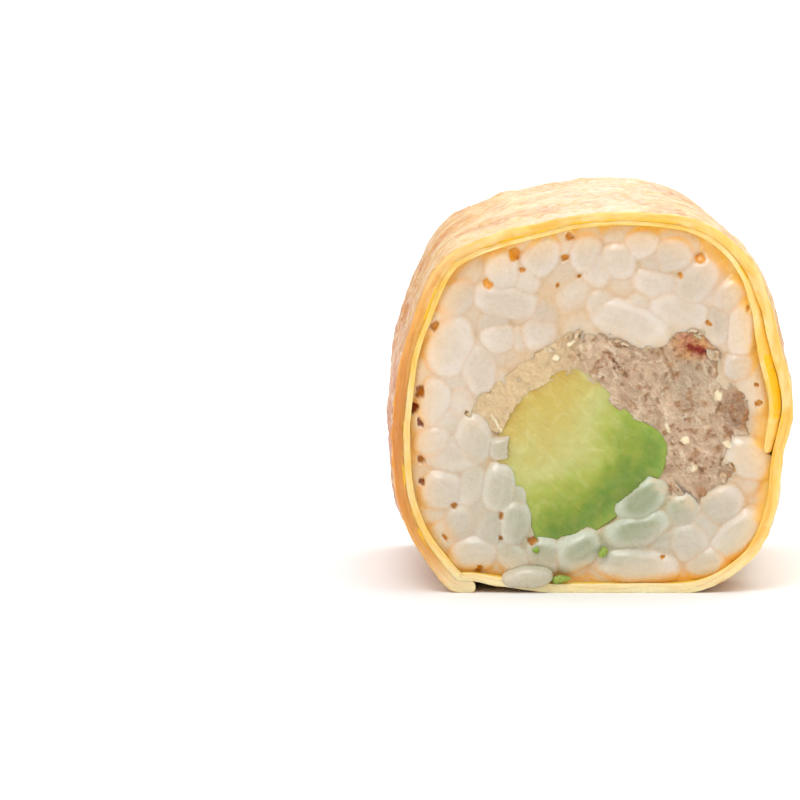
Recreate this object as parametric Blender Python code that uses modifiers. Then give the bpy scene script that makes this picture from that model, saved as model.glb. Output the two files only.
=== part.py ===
"""One slice of a sushi roll: a thin egg sheet rolled round pressed rice, with an avocado stick and flaked tuna inside.

The slice lies on its side on a small flat. The roll's axis is along Y, the shown cut faces -Y, and Z is up.
X and Z are 0 under the middle of the slice and on the surface it rests on. Lengths are in millimetres until
metres() turns them into Blender's units, and angles are in degrees, anticlockwise from +X as seen at the cut.
"""

import math

import bmesh
import bpy
import numpy as np

# The whole slice
ROLL_LENGTH = 30.5
AXIS_HEIGHT = 16.1
RIM_STEP = 15.0
RIM_RADII = (
    16.8, 16.5, 17.3, 18.0, 17.9, 16.9, 16.3, 16.2, 16.8, 17.7, 17.1, 16.8,
    16.9, 17.6, 18.8, 19.6, 20.0, 17.9, 16.9, 17.5, 18.4, 18.9, 17.9, 16.6,
)
FLOOR_BLEND = 0.6
SWELL = 0.3

# The egg sheet, counted in degrees of turn from its outer end, which goes up the left side first
SHEET_THICKNESS = 1.0
INNER_END_SHARE = 0.6
SHEET_GAP = 0.25
FLAP_ANGLE = 237.0
DIVE_TURNS = (338.0, 360.0)
THINNING_TURNS = (240.0, 480.0)
INNER_END_TURN = 612.0
LOOSE_TURN = 590.0
LOOSE_SPREAD = 26.0
LOOSE_GAP = 0.7
SHEET_SPANS = 96
LENGTH_SPANS = 6
EDGE_WAVE = 0.2

# Room between pieces that touch in the real slice
CLEARANCE = 0.3

# The avocado stick: the corners of its cut, from the top and clockwise
AVOCADO_CORNERS = (
    (-1.2, 19.0), (3.2, 15.3), (5.9, 13.4), (6.3, 11.2), (4.9, 8.6), (1.2, 5.8),
    (-1.9, 3.9), (-4.7, 4.1), (-6.0, 7.6), (-8.3, 11.2), (-7.6, 15.0), (-5.6, 17.6),
)
AVOCADO_RECESS = 0.8
AVOCADO_EDGE = 0.5

# The flaked tuna, which lies over the avocado: the corners of the side away from it, clockwise from the left end
TUNA_CORNERS = (
    (-9.4, 14.0), (-10.4, 15.4), (-8.4, 17.4), (-5.6, 19.6), (-2.6, 21.6), (0.4, 22.7), (4.6, 21.1), (7.2, 22.4),
    (10.2, 21.6), (10.6, 18.4), (12.8, 16.3), (12.6, 13.4), (11.4, 9.6), (8.6, 7.6), (6.6, 8.3),
)
TUNA_RECESS = 0.9
FLAKES_EACH_FACE = 34
FLAKE_LENGTH = 2.6
FLAKE_WIDTH = 1.5

# The rice: a core that stops short of both cuts, and the grains that show there
HOLLOW_MIDDLE = (0.5, 13.5)
HOLLOW_SPANS = 60
WALL_SPANS = 48
GRAIN_LENGTH = 7.2
GRAIN_WIDTH = 3.1
GRAIN_SIDES = 6
GRAIN_RINGS = 4
GRAIN_BLUNTNESS = 0.8
CORE_RECESS = 2.0
FACE_RELIEF = 1.0
GRAINS_EACH_FACE = 58
BEADS = (-1.0, 0.0, 1.0)
PACKING_STEPS = 150
BEAD_OVERLAP = 0.84
BEAD_SHARES = (1.0, 0.9, 0.8)
CLEARING_STEPS = 16

# Grains that stand out at the shown cut: middle across and up, length seen, its turn, and how far the grain is set in
CLEAR_GRAINS = (
    (-7.5, 27.3, 3.2, 0, 0.3), (-4.4, 28.8, 3.7, 60, 0.2), (-0.5, 29.0, 3.7, 85, 0.4), (3.6, 29.6, 3.4, 20, 0.4),
    (-7.2, 24.7, 5.6, -12, 0.3), (3.2, 22.9, 6.4, -18, 0.0), (7.6, 23.7, 4.6, -20, 0.2), (9.0, 26.1, 4.4, 50, 0.3),
    (-12.2, 20.7, 5.8, 80, 0.1), (-9.6, 18.4, 4.2, 95, 0.4), (12.8, 22.2, 4.2, 95, 0.4), (13.6, 11.1, 3.5, -30, 0.2),
    (-13.4, 15.6, 3.6, 80, 0.3), (-10.1, 12.2, 4.6, 95, 0.0), (-12.8, 8.2, 3.2, 0, 0.1), (-7.9, 8.3, 4.1, 80, 0.0),
    (-6.6, 6.0, 3.2, 80, -0.2), (-10.0, 3.1, 3.6, 5, 0.2), (-6.6, 2.9, 3.7, -50, 0.2), (-4.2, 2.7, 3.1, 0, 0.2),
    (-1.2, 3.1, 3.7, 35, -0.2), (4.4, 7.8, 4.2, 35, 0.0), (4.5, 5.4, 5.8, 25, 0.0), (3.9, 2.2, 6.0, -3, -0.3),
    (7.8, 3.9, 4.2, -35, 0.2), (12.2, 4.4, 4.8, 40, 0.2),
)


def metres(millimetres):
    return millimetres * 0.001


def rim_radius(angle):
    """Distance of the slice's side from the axis, on a smooth closed curve through RIM_RADII."""
    place = np.asarray(angle, float) / RIM_STEP
    first = np.floor(place).astype(int)
    share = place - first
    before, here, after, beyond = (np.take(RIM_RADII, first + k, mode="wrap") for k in (-1, 0, 1, 2))
    slope, bend = (after - before) / 2, before - 2.5 * here + 2 * after - beyond / 2
    return here + share * (slope + share * (bend + share * (after - here - slope - bend)))


def above_floor(height):
    """The height, or 0 on the flat that the slice rests on, with a soft start to the curve beside it."""
    blend = (height + FLOOR_BLEND) ** 2 / (4 * FLOOR_BLEND)
    return np.where(height > FLOOR_BLEND, height, np.where(height < -FLOOR_BLEND, 0.0, blend))


def rim_point(angle, swell=0.0):
    """A point of the slice's side, as (across, up)."""
    turn, radius = np.radians(angle), rim_radius(angle) + swell
    return np.stack([radius * np.cos(turn), above_floor(AXIS_HEIGHT + radius * np.sin(turn))], axis=-1)


def rim_inward(angle):
    """The way into the slice, square to its side."""
    step = rim_point(angle + 1.0) - rim_point(angle - 1.0)
    inward = np.stack([-step[..., 1], step[..., 0]], axis=-1)
    return inward / np.linalg.norm(inward, axis=-1, keepdims=True)


def smooth_step(value, low, high):
    share = np.clip((value - low) / (high - low), 0, 1)
    return share * share * (3 - 2 * share)


def sheet_depth(turn):
    """How far under the slice's side the sheet's outer face lies: its second turn goes inside the first."""
    loose = LOOSE_GAP * np.exp(-(((turn - LOOSE_TURN) / LOOSE_SPREAD) ** 2))
    return (SHEET_THICKNESS + SHEET_GAP) * smooth_step(turn, *DIVE_TURNS) + loose


def sheet_share(turn):
    """The sheet's thickness at a turn, as a share of the thickness at its outer end."""
    return 1 + (INNER_END_SHARE - 1) * smooth_step(turn, *THINNING_TURNS)


def sheet_point(turn, along):
    """A point of the sheet's outer face, as (across, up). Along is from 0 at the shown cut to 1 at the other."""
    angle = FLAP_ANGLE - turn
    swell = SWELL * (0.5 + 0.5 * np.sin(2 * np.radians(angle) + 1.1)) * np.sin(math.pi * along)
    return rim_point(angle, swell) + sheet_depth(turn)[..., None] * rim_inward(angle)


def hollow_outline(fillings, spans):
    """The outline round all the fillings, as seen from the middle of the hollow in the rice."""
    turn = -np.arange(spans) * 2 * math.pi / spans
    way = np.stack([np.cos(turn), np.sin(turn)], axis=1)
    reach = np.linspace(2, 16, 141)
    points = (HOLLOW_MIDDLE + reach[:, None, None] * way).reshape(-1, 2)
    filled = np.max([room_inside(points, filling)[0] > 0 for filling in fillings], axis=0)
    furthest = np.max(np.where(filled.reshape(len(reach), spans), reach[:, None], 0), axis=0)
    return HOLLOW_MIDDLE + furthest[:, None] * way


def rice_wall(spans):
    """The outline that the rice fills, a clearance inside the innermost turn of the sheet."""
    angle = np.arange(spans) * 360.0 / spans
    first_turn = (FLAP_ANGLE - angle) % 360.0
    inner_turn = np.where(first_turn + 360 < INNER_END_TURN, first_turn + 360, first_turn)
    depth = sheet_depth(inner_turn) + SHEET_THICKNESS * sheet_share(inner_turn)
    near = [np.roll(depth, k) for k in (-1, 0, 1)]
    return rim_point(angle) + (np.max(near, axis=0) + CLEARANCE)[:, None] * rim_inward(angle)


def smooth_outline(corners, spans):
    """A closed curve through the corners, with that many points on each stretch."""
    corners = np.array(corners, float)
    before, after, beyond = (np.roll(corners, k, axis=0) for k in (1, -1, -2))
    share = (np.arange(spans) / spans)[None, :, None]
    here, before, after, beyond = (p[:, None] for p in (corners, before, after, beyond))
    slope, bend = (after - before) / 2, before - 2.5 * here + 2 * after - beyond / 2
    return (here + share * (slope + share * (bend + share * (after - here - slope - bend)))).reshape(-1, 2)


def grown(outline, distance):
    """The outline moved outwards by a distance, for one that runs clockwise."""
    step = np.roll(outline, -1, axis=0) - np.roll(outline, 1, axis=0)
    outward = np.stack([-step[:, 1], step[:, 0]], axis=1)
    return outline + distance * outward / np.linalg.norm(outward, axis=1, keepdims=True)


def tuna_outline(avocado_cut):
    """The cut through the tuna: its own outer side, then back along the avocado a clearance away."""
    outer, inner = smooth_outline(TUNA_CORNERS, 2)[:-1], grown(avocado_cut, CLEARANCE)
    first, last = (np.linalg.norm(inner - outer[end], axis=1).argmin() for end in (-1, 0))
    back = [(first - k) % len(inner) for k in range((first - last) % len(inner) + 1)]
    return np.concatenate([outer, inner[back]])


def room_inside(points, outline):
    """How far inside a closed outline each point is, below 0 outside it, and the way further in."""
    along = np.roll(outline, -1, axis=0) - outline
    offset = points[:, None] - outline
    share = np.clip((offset * along).sum(2) / (along**2).sum(1), 0, 1)
    gap = offset - share[..., None] * along
    distance = np.linalg.norm(gap, axis=2)
    nearest = (np.arange(len(points)), distance.argmin(1))
    level = (outline[:, 1] > points[:, 1:]) != (np.roll(outline[:, 1], -1) > points[:, 1:])
    rise = np.where(along[:, 1] == 0, 1.0, along[:, 1])
    crossed = level & (offset[..., 0] < offset[..., 1] / rise * along[:, 0])
    side = np.where(crossed.sum(1) % 2, 1.0, -1.0)
    reach = np.maximum(distance[nearest], 1e-9)
    return side * reach, (side / reach)[:, None] * gap[nearest]


def room_and_way(points, wall, fillings):
    """The least room that each point has in the wall and outside the fillings, and the way to more."""
    room, way = room_inside(points, wall)
    for filling in fillings:
        depth, inward = room_inside(points, filling)
        closer = -depth < room
        room = np.where(closer, -depth, room)
        way = np.where(closer[:, None], -inward, way)
    return room, way


def pack_grains(placed, count, wall, fillings, seed):
    """Rows of (across, up, length seen, turn, set in): those placed by hand, then others pushed apart to fill the room."""
    draw = np.random.default_rng(seed)
    low, high = wall.min(axis=0), wall.max(axis=0)
    spots = draw.uniform(low, high, (count * 12, 2))
    spots = spots[room_and_way(spots, wall, fillings)[0] > 0.5][: count - len(placed)]
    seen = GRAIN_WIDTH + (GRAIN_LENGTH - GRAIN_WIDTH) * draw.uniform(0, 1, len(spots)) ** 1.6
    turn, relief = draw.uniform(0, 180, len(spots)), draw.uniform(0.2, FACE_RELIEF, len(spots))
    rows = np.concatenate([np.reshape(placed, (-1, 5)), np.column_stack([spots, seen, turn, relief])])
    free = np.arange(len(rows)) >= len(placed)
    reach, owner = (rows[:, 2] - GRAIN_WIDTH) / 2, np.repeat(np.arange(len(rows)), len(BEADS))
    apart_enough = BEAD_OVERLAP * GRAIN_WIDTH
    for _ in range(PACKING_STEPS):
        way = np.stack([np.cos(np.radians(rows[:, 3])), np.sin(np.radians(rows[:, 3]))], axis=1)
        arm = np.multiply.outer(reach, BEADS)[..., None] * way[:, None]
        beads = (rows[:, None, :2] + arm).reshape(-1, 2)
        between = beads[:, None] - beads
        apart = np.linalg.norm(between, axis=2) + 1e-6
        pressed = np.clip(apart_enough - apart, 0, None) * (owner[:, None] != owner)
        push = (pressed / apart)[..., None] * between * 0.25
        room, inward = room_and_way(beads, wall, fillings)
        push = push.sum(1) + np.clip(GRAIN_WIDTH / 2 - room, 0, None)[:, None] * inward * 0.5
        push = push.reshape(len(rows), len(BEADS), 2)
        twist = (arm[..., 0] * push[..., 1] - arm[..., 1] * push[..., 0]).sum(1) / (0.5 + 2 * reach**2)
        rows[free, :2] += push.mean(1)[free]
        rows[free, 3] += np.degrees(twist[free])
    return rows


def new_material(name, colour, roughness):
    material = bpy.data.materials.new(name)
    material.use_nodes = True
    shader = material.node_tree.nodes["Principled BSDF"]
    shader.inputs["Base Color"].default_value = (*colour, 1.0)
    shader.inputs["Roughness"].default_value = roughness
    shader.inputs["Metallic"].default_value = 0.0
    return material


def new_object(name, mesh, collection, material=None):
    obj = bpy.data.objects.new(name, mesh)
    collection.objects.link(obj)
    if material:
        mesh.materials.append(material)
    return obj


def prism(name, outlines, length, collection, material, edge=0.0):
    """A straight bar along Y, its cut inside the first outline and outside the rest, its ends' edges rounded."""
    curve = bpy.data.curves.new(name, "CURVE")
    curve.dimensions = "2D"
    curve.fill_mode = "BOTH"
    curve.extrude = metres(length / 2 - edge)
    curve.bevel_depth = metres(edge)
    curve.bevel_resolution = 1
    curve.offset = -metres(edge)
    for outline in outlines:
        spline = curve.splines.new("POLY")
        spline.points.add(len(outline) - 1)
        for point, (across, up) in zip(spline.points, outline):
            point.co = (metres(across), metres(up), 0, 1)
        spline.use_cyclic_u = True
    shape = bpy.data.objects.new(name, curve)
    bpy.context.scene.collection.objects.link(shape)
    shape.rotation_euler = (math.radians(90), 0, 0)
    bpy.context.view_layer.update()
    mesh = bpy.data.meshes.new_from_object(shape.evaluated_get(bpy.context.evaluated_depsgraph_get()))
    mesh.transform(shape.matrix_world)
    bpy.data.objects.remove(shape)
    work = bmesh.new()
    work.from_mesh(mesh)
    bmesh.ops.remove_doubles(work, verts=work.verts, dist=metres(0.001))
    bmesh.ops.recalc_face_normals(work, faces=work.faces)
    work.to_mesh(mesh)
    work.free()
    mesh.materials.clear()
    return new_object(name, mesh, collection, material)


def bead_ball():
    """The corners of a low-sided ball, 1 long along its first axis, and the pairs of corners that edges join."""
    work = bmesh.new()
    bmesh.ops.create_uvsphere(work, u_segments=GRAIN_SIDES, v_segments=GRAIN_RINGS, radius=0.5)
    corners = np.array([v.co[:] for v in work.verts])[:, [2, 0, 1]]
    edges = np.array([[v.index for v in e.verts] for e in work.edges])
    work.free()
    across = np.linalg.norm(corners[:, 1:], axis=1, keepdims=True)
    corners[:, 1:] *= (2 * across + 1e-9) ** (GRAIN_BLUNTNESS - 1)
    corners[:, 0] *= (2 * np.abs(corners[:, 0]) + 1e-9) ** (GRAIN_BLUNTNESS - 1)
    return corners, edges


def bead_points(row, width, facing):
    """The corners of the bead that stands for one grain or flake that the knife cut short, in millimetres.

    Row is (across, up, length seen, turn, set in), and facing is -1 at the shown cut and 1 at the other.
    """
    across, up, seen, turn, set_in = row
    turn = math.radians(turn)
    along, side = (math.cos(turn), 0, math.sin(turn)), (-math.sin(turn), 0, math.cos(turn))
    points = bead_ball()[0] * (seen, width, width) @ np.array([along, side, np.cross(along, side)])
    points[:, 1] += facing * (ROLL_LENGTH / 2 - set_in - points[:, 1].max())
    return points + (across, 0, up)


def clear_bead(row, width, facing, wall, fillings):
    """Bead points moved, or else made smaller, until they clear the neighbours, or None where nothing fits."""
    edges = bead_ball()[1]
    for share in BEAD_SHARES:
        tried = np.array(row, float)
        tried[2] *= share
        for _ in range(CLEARING_STEPS):
            points = bead_points(tried, width * share, facing)
            ends = points[edges][:, :, [0, 2]]
            samples = np.concatenate([ends[:, 0] * (1 - k) + ends[:, 1] * k for k in (0, 0.25, 0.5, 0.75, 1)])
            room, way = room_and_way(samples, wall, fillings)
            worst = room.argmin()
            if room[worst] > 0:
                return points
            tried[:2] += way[worst] * (0.05 - room[worst])
    return None


def joined_beads(name, bodies, collection):
    """One closed object for each bead, in a collection that a Boolean can join to a core."""
    for number, points in enumerate(bodies):
        mesh = bpy.data.meshes.new(f"{name}_{number}")
        work = bmesh.new()
        bmesh.ops.create_uvsphere(work, u_segments=GRAIN_SIDES, v_segments=GRAIN_RINGS, radius=0.5)
        for vertex, point in zip(work.verts, points):
            vertex.co = [metres(value) for value in point]
        bmesh.ops.recalc_face_normals(work, faces=work.faces)
        work.to_mesh(mesh)
        work.free()
        new_object(mesh.name, mesh, collection)


def join_to(core, collection):
    """Joins a collection's objects to the core in one closed mesh, and removes them."""
    union = core.modifiers.new("union", "BOOLEAN")
    union.operation = "UNION"
    union.solver = "EXACT"
    union.operand_type = "COLLECTION"
    union.collection = collection
    bpy.context.view_layer.update()
    mesh = bpy.data.meshes.new_from_object(core.evaluated_get(bpy.context.evaluated_depsgraph_get()))
    core.modifiers.clear()
    core.data = mesh
    for joined in list(collection.objects):
        bpy.data.objects.remove(joined)
    drop_scraps(core)


def drop_scraps(obj):
    """Keeps only the largest body of a mesh, in triangles: loose slivers and sealed hollows go."""
    work = bmesh.new()
    work.from_mesh(obj.data)
    left, bodies = set(work.verts), []
    while left:
        body, edge = set(), {left.pop()}
        while edge:
            body |= edge
            edge = {e.other_vert(v) for v in edge for e in v.link_edges} - body
        left -= body
        bodies.append(body)
    kept = max(bodies, key=len)
    bmesh.ops.delete(work, geom=[v for v in work.verts if v not in kept], context="VERTS")
    bmesh.ops.triangulate(work, faces=work.faces)
    work.to_mesh(obj.data)
    work.free()


def build_egg_sheet(collection):
    """The egg sheet: a flat grid rolled up nearly twice, and given its thickness inwards."""
    mesh = bpy.data.meshes.new("egg_sheet")
    work = bmesh.new()
    bmesh.ops.create_grid(work, x_segments=SHEET_SPANS, y_segments=LENGTH_SPANS, size=0.5)
    flat = np.array([v.co[:2] for v in work.verts]) + 0.5
    turn, along = flat[:, 0] * INNER_END_TURN, flat[:, 1]
    across, up = sheet_point(turn, along).T
    wave = EDGE_WAVE * np.sin(np.radians(2.6 * turn)) * (2 * along - 1)
    depth = (along - 0.5) * ROLL_LENGTH + wave
    for vertex, *place in zip(work.verts, across, depth, up):
        vertex.co = [metres(value) for value in place]
    work.to_mesh(mesh)
    work.free()
    sheet = new_object("egg_sheet", mesh, collection, new_material("egg", (0.86, 0.56, 0.16), 0.5))
    share = sheet.vertex_groups.new(name="thickness")
    for vertex, weight in zip(mesh.vertices, sheet_share(turn)):
        share.add([vertex.index], float(weight), "REPLACE")
    wall = sheet.modifiers.new("thickness", "SOLIDIFY")
    wall.thickness = metres(SHEET_THICKNESS)
    wall.offset = -1.0
    wall.vertex_group = "thickness"
    return sheet


def build_avocado(outline, collection):
    green = new_material("avocado", (0.50, 0.55, 0.16), 0.4)
    length = ROLL_LENGTH - 2 * AVOCADO_RECESS
    return prism("avocado", [outline], length, collection, green, AVOCADO_EDGE)


def build_tuna(outline, collection, loose):
    """A bar of flaked tuna with lumpy flakes fused to both cuts."""
    brown = new_material("tuna", (0.50, 0.37, 0.24), 0.6)
    tuna = prism("tuna", [outline], ROLL_LENGTH - 2 * TUNA_RECESS, collection, brown)
    draw = np.random.default_rng(5)
    bodies = []
    for facing in (-1, 1):
        spots = draw.uniform(outline.min(axis=0), outline.max(axis=0), (FLAKES_EACH_FACE * 12, 2))
        spots = spots[room_inside(spots, outline)[0] > 0.8]
        kept = []
        for spot in spots:
            if all(np.hypot(*(spot - other)) > FLAKE_WIDTH for other in kept):
                kept.append(spot)
        for spot in kept[:FLAKES_EACH_FACE]:
            row = (*spot, FLAKE_LENGTH, draw.uniform(0, 180), draw.uniform(0.0, 0.5))
            bodies.append(clear_bead(row, FLAKE_WIDTH, facing, outline, []))
    joined_beads("flake", [b for b in bodies if b is not None], loose)
    join_to(tuna, loose)
    return tuna


def build_rice(wall, fillings, collection, loose):
    """The pressed rice: a core round the fillings, with the grains that show fused to both its ends."""
    white = new_material("rice", (0.86, 0.80, 0.70), 0.35)
    hollow = hollow_outline([grown(filling, CLEARANCE) for filling in fillings], HOLLOW_SPANS)
    rice = prism("rice", [wall, hollow], ROLL_LENGTH - 2 * CORE_RECESS, collection, white)
    bodies = []
    for facing, placed, seed in ((-1, CLEAR_GRAINS, 11), (1, (), 12)):
        rows = pack_grains(placed, GRAINS_EACH_FACE, wall, fillings, seed)
        bodies += [clear_bead(row, GRAIN_WIDTH, facing, wall, fillings) for row in rows]
    joined_beads("grain", [b for b in bodies if b is not None], loose)
    join_to(rice, loose)
    return rice


def main():
    for old in list(bpy.data.objects):
        bpy.data.objects.remove(old)
    slice_parts = bpy.data.collections.new("sushi_roll")
    loose = bpy.data.collections.new("joined_and_cut")
    for collection in (slice_parts, loose):
        bpy.context.scene.collection.children.link(collection)
    avocado_cut = smooth_outline(AVOCADO_CORNERS, 3)
    tuna_cut = tuna_outline(avocado_cut)
    fillings = [grown(avocado_cut, CLEARANCE), grown(tuna_cut, CLEARANCE)]
    build_egg_sheet(slice_parts)
    build_avocado(avocado_cut, slice_parts)
    build_tuna(tuna_cut, slice_parts, loose)
    build_rice(rice_wall(WALL_SPANS), fillings, slice_parts, loose)


main()
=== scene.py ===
"""Looks of one slice of a sushi roll: an egg sheet round pressed rice, with avocado and flaked tuna inside.

The slice lies on its side, its axis along Y and its shown cut facing -Y. Lengths are in millimetres until
MM turns them into metres, and angles are in degrees, anticlockwise from +X as seen at the shown cut.
"""

import math
from collections import namedtuple

import bmesh
import bpy
import numpy as np
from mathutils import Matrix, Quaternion, Vector, noise


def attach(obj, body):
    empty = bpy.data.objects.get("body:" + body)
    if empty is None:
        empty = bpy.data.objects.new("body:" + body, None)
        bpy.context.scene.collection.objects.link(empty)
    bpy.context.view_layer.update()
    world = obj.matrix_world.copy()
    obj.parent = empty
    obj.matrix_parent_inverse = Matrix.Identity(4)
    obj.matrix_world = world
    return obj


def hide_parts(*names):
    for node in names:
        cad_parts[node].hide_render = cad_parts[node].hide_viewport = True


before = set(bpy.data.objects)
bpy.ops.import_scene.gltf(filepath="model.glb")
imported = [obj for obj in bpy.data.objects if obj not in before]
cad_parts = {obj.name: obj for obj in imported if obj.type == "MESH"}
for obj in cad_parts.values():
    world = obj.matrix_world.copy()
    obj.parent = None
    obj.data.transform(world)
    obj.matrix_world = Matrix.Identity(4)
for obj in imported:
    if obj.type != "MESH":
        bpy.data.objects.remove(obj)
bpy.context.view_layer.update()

MM = 0.001

# The layout of the cut, as the solids have it
ROLL_LENGTH = 30.5
AXIS_HEIGHT = 16.1
RIM_STEP = 15.0
RIM_RADII = (
    16.8, 16.5, 17.3, 18.0, 17.9, 16.9, 16.3, 16.2, 16.8, 17.7, 17.1, 16.8,
    16.9, 17.6, 18.8, 19.6, 20.0, 17.9, 16.9, 17.5, 18.4, 18.9, 17.9, 16.6,
)
FLOOR_BLEND = 0.6
SWELL = 0.3
SHEET_THICKNESS = 0.95
INNER_END_SHARE = 0.48
THIN_TOP_SHARE = 0.2
THIN_TOP_SPREAD = 45.0
SHEET_GAP = -0.03
FLAP_ANGLE = 237.0
FLAP_TURN = -3.0
DIVE_TURNS = (338.0, 360.0)
THINNING_TURNS = (240.0, 480.0)
INNER_END_TURN = 612.0
LOOSE_TURN = 590.0
LOOSE_SPREAD = 26.0
LOOSE_GAP = 0.7
AVOCADO_CORNERS = (
    (-1.2, 19.0), (3.2, 15.3), (5.9, 13.4), (6.3, 11.2), (4.9, 8.6), (1.2, 5.8),
    (-1.9, 3.9), (-4.7, 4.1), (-6.0, 7.6), (-8.3, 11.2), (-7.6, 15.0), (-5.6, 17.6),
)
AVOCADO_BOTTOM = 6
AVOCADO_RECESS = 0.8
TUNA_CORNERS = (
    (-9.4, 14.0), (-10.4, 15.4), (-8.4, 17.4), (-5.6, 19.6), (-2.6, 21.6), (0.4, 22.7), (4.6, 21.1),
    (7.2, 22.4), (10.2, 21.6), (10.6, 18.4), (12.8, 16.3), (12.6, 13.4), (11.4, 9.6), (8.6, 7.6),
    (6.6, 8.3),
)
HOLLOW_MIDDLE = (0.5, 13.5)
HOLLOW_STEP = 0.2

# How the slice sags towards its back, at the upper right
SAG = 1.1
SAG_ANGLE = 44.0
SAG_SPREAD = 22.0

# The egg sheet's mesh and relief. The gap between its turns closes that far in from the cuts
GAP_REACH = 0.5
LOOSE_REACH = 0.16
OUTER_TURN_STEP = 1.3
INNER_TURN_STEP = 2.4
SHEET_ACROSS_SPANS = 6
SHEET_LENGTH_SPANS = 76
SHEET_CORNER = 0.025
ROUND_END = 0.45
MM_EACH_DEGREE = 0.305
UNDULATION = 0.22
WRINKLE = 0.16
BLISTER = 0.07
GAP_UNEVENNESS = 0.05
CREASE_RISE = 0.16

# How far the knife moved the sheet's cut in and out: in long waves, and as a torn edge
KNIFE_DRAG = 0.16
TORN = 0.15

# Creases along the slice: how far round the sheet from its outer end, and the seed of their wandering
CREASES = ((18.0, 41), (37.0, 42), (58.0, 43), (84.0, 44))

# Where the skin is browned and carries painted shade most, and where a painted highlight makes it palest, as
# the angle and its spread
SHADED_BROWN_ANGLE = 190
SHADED_BROWN_SPREAD = 48
GLARE_ANGLE = 88
GLARE_SPREAD = 38
PAINTED_GLARE_SHARE = 0.72

# Rice, as it lies pressed at a cut: heights are from the cut, below 0 under it
GRAIN_LENGTH = 7.2
GRAIN_WIDTH = 3.1
GRAINS_AT_CUT = 43
GRAINS_UNDER = 66
BEADS = (-1.0, 0.0, 1.0)
PACKING_STEPS = 150
BEAD_OVERLAP = 0.8
WALL_SHARE = 0.38
GRAIN_SWELL = 0.22
RICE_TOP = -0.15
UNDER_TOP = -0.55
RICE_BED = -1.1
RICE_OVERLAP = 1.0
RICE_ONTO_TUNA = 0.8
GRAIN_DROP = 0.66
GRAIN_FLAT = 0.3
GAP_DEPTH = 0.35
GAPS_AT_BACK = 16
WALL_SPANS = 48
RICE_SEEDS = (11, 17)
FAR_GAPS_SEED = 19

# How strongly the avocado's painted green light and shade tint the rice: places across, and the share at each
GREEN_RISE = ((-9.5, -6.0, 4.5), (0.25, 0.55, 1.0))

# Grains that stand out at the shown cut: middle across and up, length, width, turn, and how far set in
CLEAR_GRAINS = (
    (-7.7, 27.3, 3.5, 2.9, 100, 0.3), (-4.5, 28.9, 3.9, 3.0, 60, 0.2), (-0.7, 29.0, 3.8, 2.8, 80, 0.4),
    (2.0, 28.2, 3.2, 3.2, 0, 0.3), (3.9, 29.9, 3.4, 2.8, 20, 0.5), (6.4, 28.8, 3.6, 3.2, 10, 0.4),
    (8.6, 26.4, 4.6, 3.0, 50, 0.2), (7.3, 23.8, 5.4, 3.2, -20, 0.3), (2.8, 23.1, 6.4, 3.2, -18, 0.0),
    (-7.4, 24.7, 5.6, 2.8, -12, 0.3), (-11.5, 25.2, 4.6, 3.0, 40, 0.6), (-12.3, 21.2, 5.2, 4.0, 80, 0.1),
    (-8.0, 21.7, 3.0, 2.8, 0, 0.4), (-4.6, 22.3, 3.8, 3.4, 20, 0.8), (-9.6, 19.0, 4.4, 3.2, 95, 0.4),
    (-13.7, 16.2, 4.4, 2.8, 80, 0.3), (-11.2, 15.9, 4.0, 3.0, 85, 0.9), (-13.7, 12.9, 3.2, 3.0, 0, 0.4),
    (-10.2, 12.9, 4.4, 3.0, 95, 0.0), (-7.7, 12.4, 2.6, 2.2, 20, 0.3), (-13.0, 8.7, 3.5, 3.2, 0, 0.1),
    (-10.4, 9.2, 4.0, 2.6, 80, 0.4), (-8.0, 8.8, 4.2, 2.6, 82, 0.0), (-6.6, 6.0, 3.9, 2.5, 82, -0.2),
    (-8.7, 5.8, 3.6, 2.8, 80, 0.3), (-11.5, 5.8, 3.8, 3.0, 60, 0.4), (-10.1, 3.3, 4.0, 2.8, 5, 0.1),
    (-7.1, 3.1, 3.8, 2.6, -50, 0.1), (-4.2, 3.0, 3.2, 3.0, 0, 0.1), (-1.2, 3.5, 3.9, 2.8, 32, -0.2),
    (4.1, 7.9, 4.5, 2.7, 38, -0.1), (3.8, 5.3, 5.8, 2.6, 20, 0.0), (3.6, 2.3, 6.0, 2.7, -3, -0.3),
    (8.1, 4.3, 3.5, 3.4, 0, 0.2), (12.2, 4.8, 5.4, 3.1, 38, 0.1), (9.5, 2.4, 3.7, 2.8, 10, 0.2),
    (7.6, 6.9, 3.6, 3.0, 20, 0.5), (10.6, 7.2, 4.2, 3.2, 20, 0.6), (13.4, 11.3, 4.2, 3.2, -25, 0.3),
    (12.5, 22.4, 4.6, 2.7, 88, 0.3), (11.6, 25.1, 3.8, 2.8, 45, 0.5), (12.5, 19.2, 3.0, 2.7, 0, 0.5),
    (10.3, 23.0, 4.0, 2.7, 85, 0.6),
)
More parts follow.
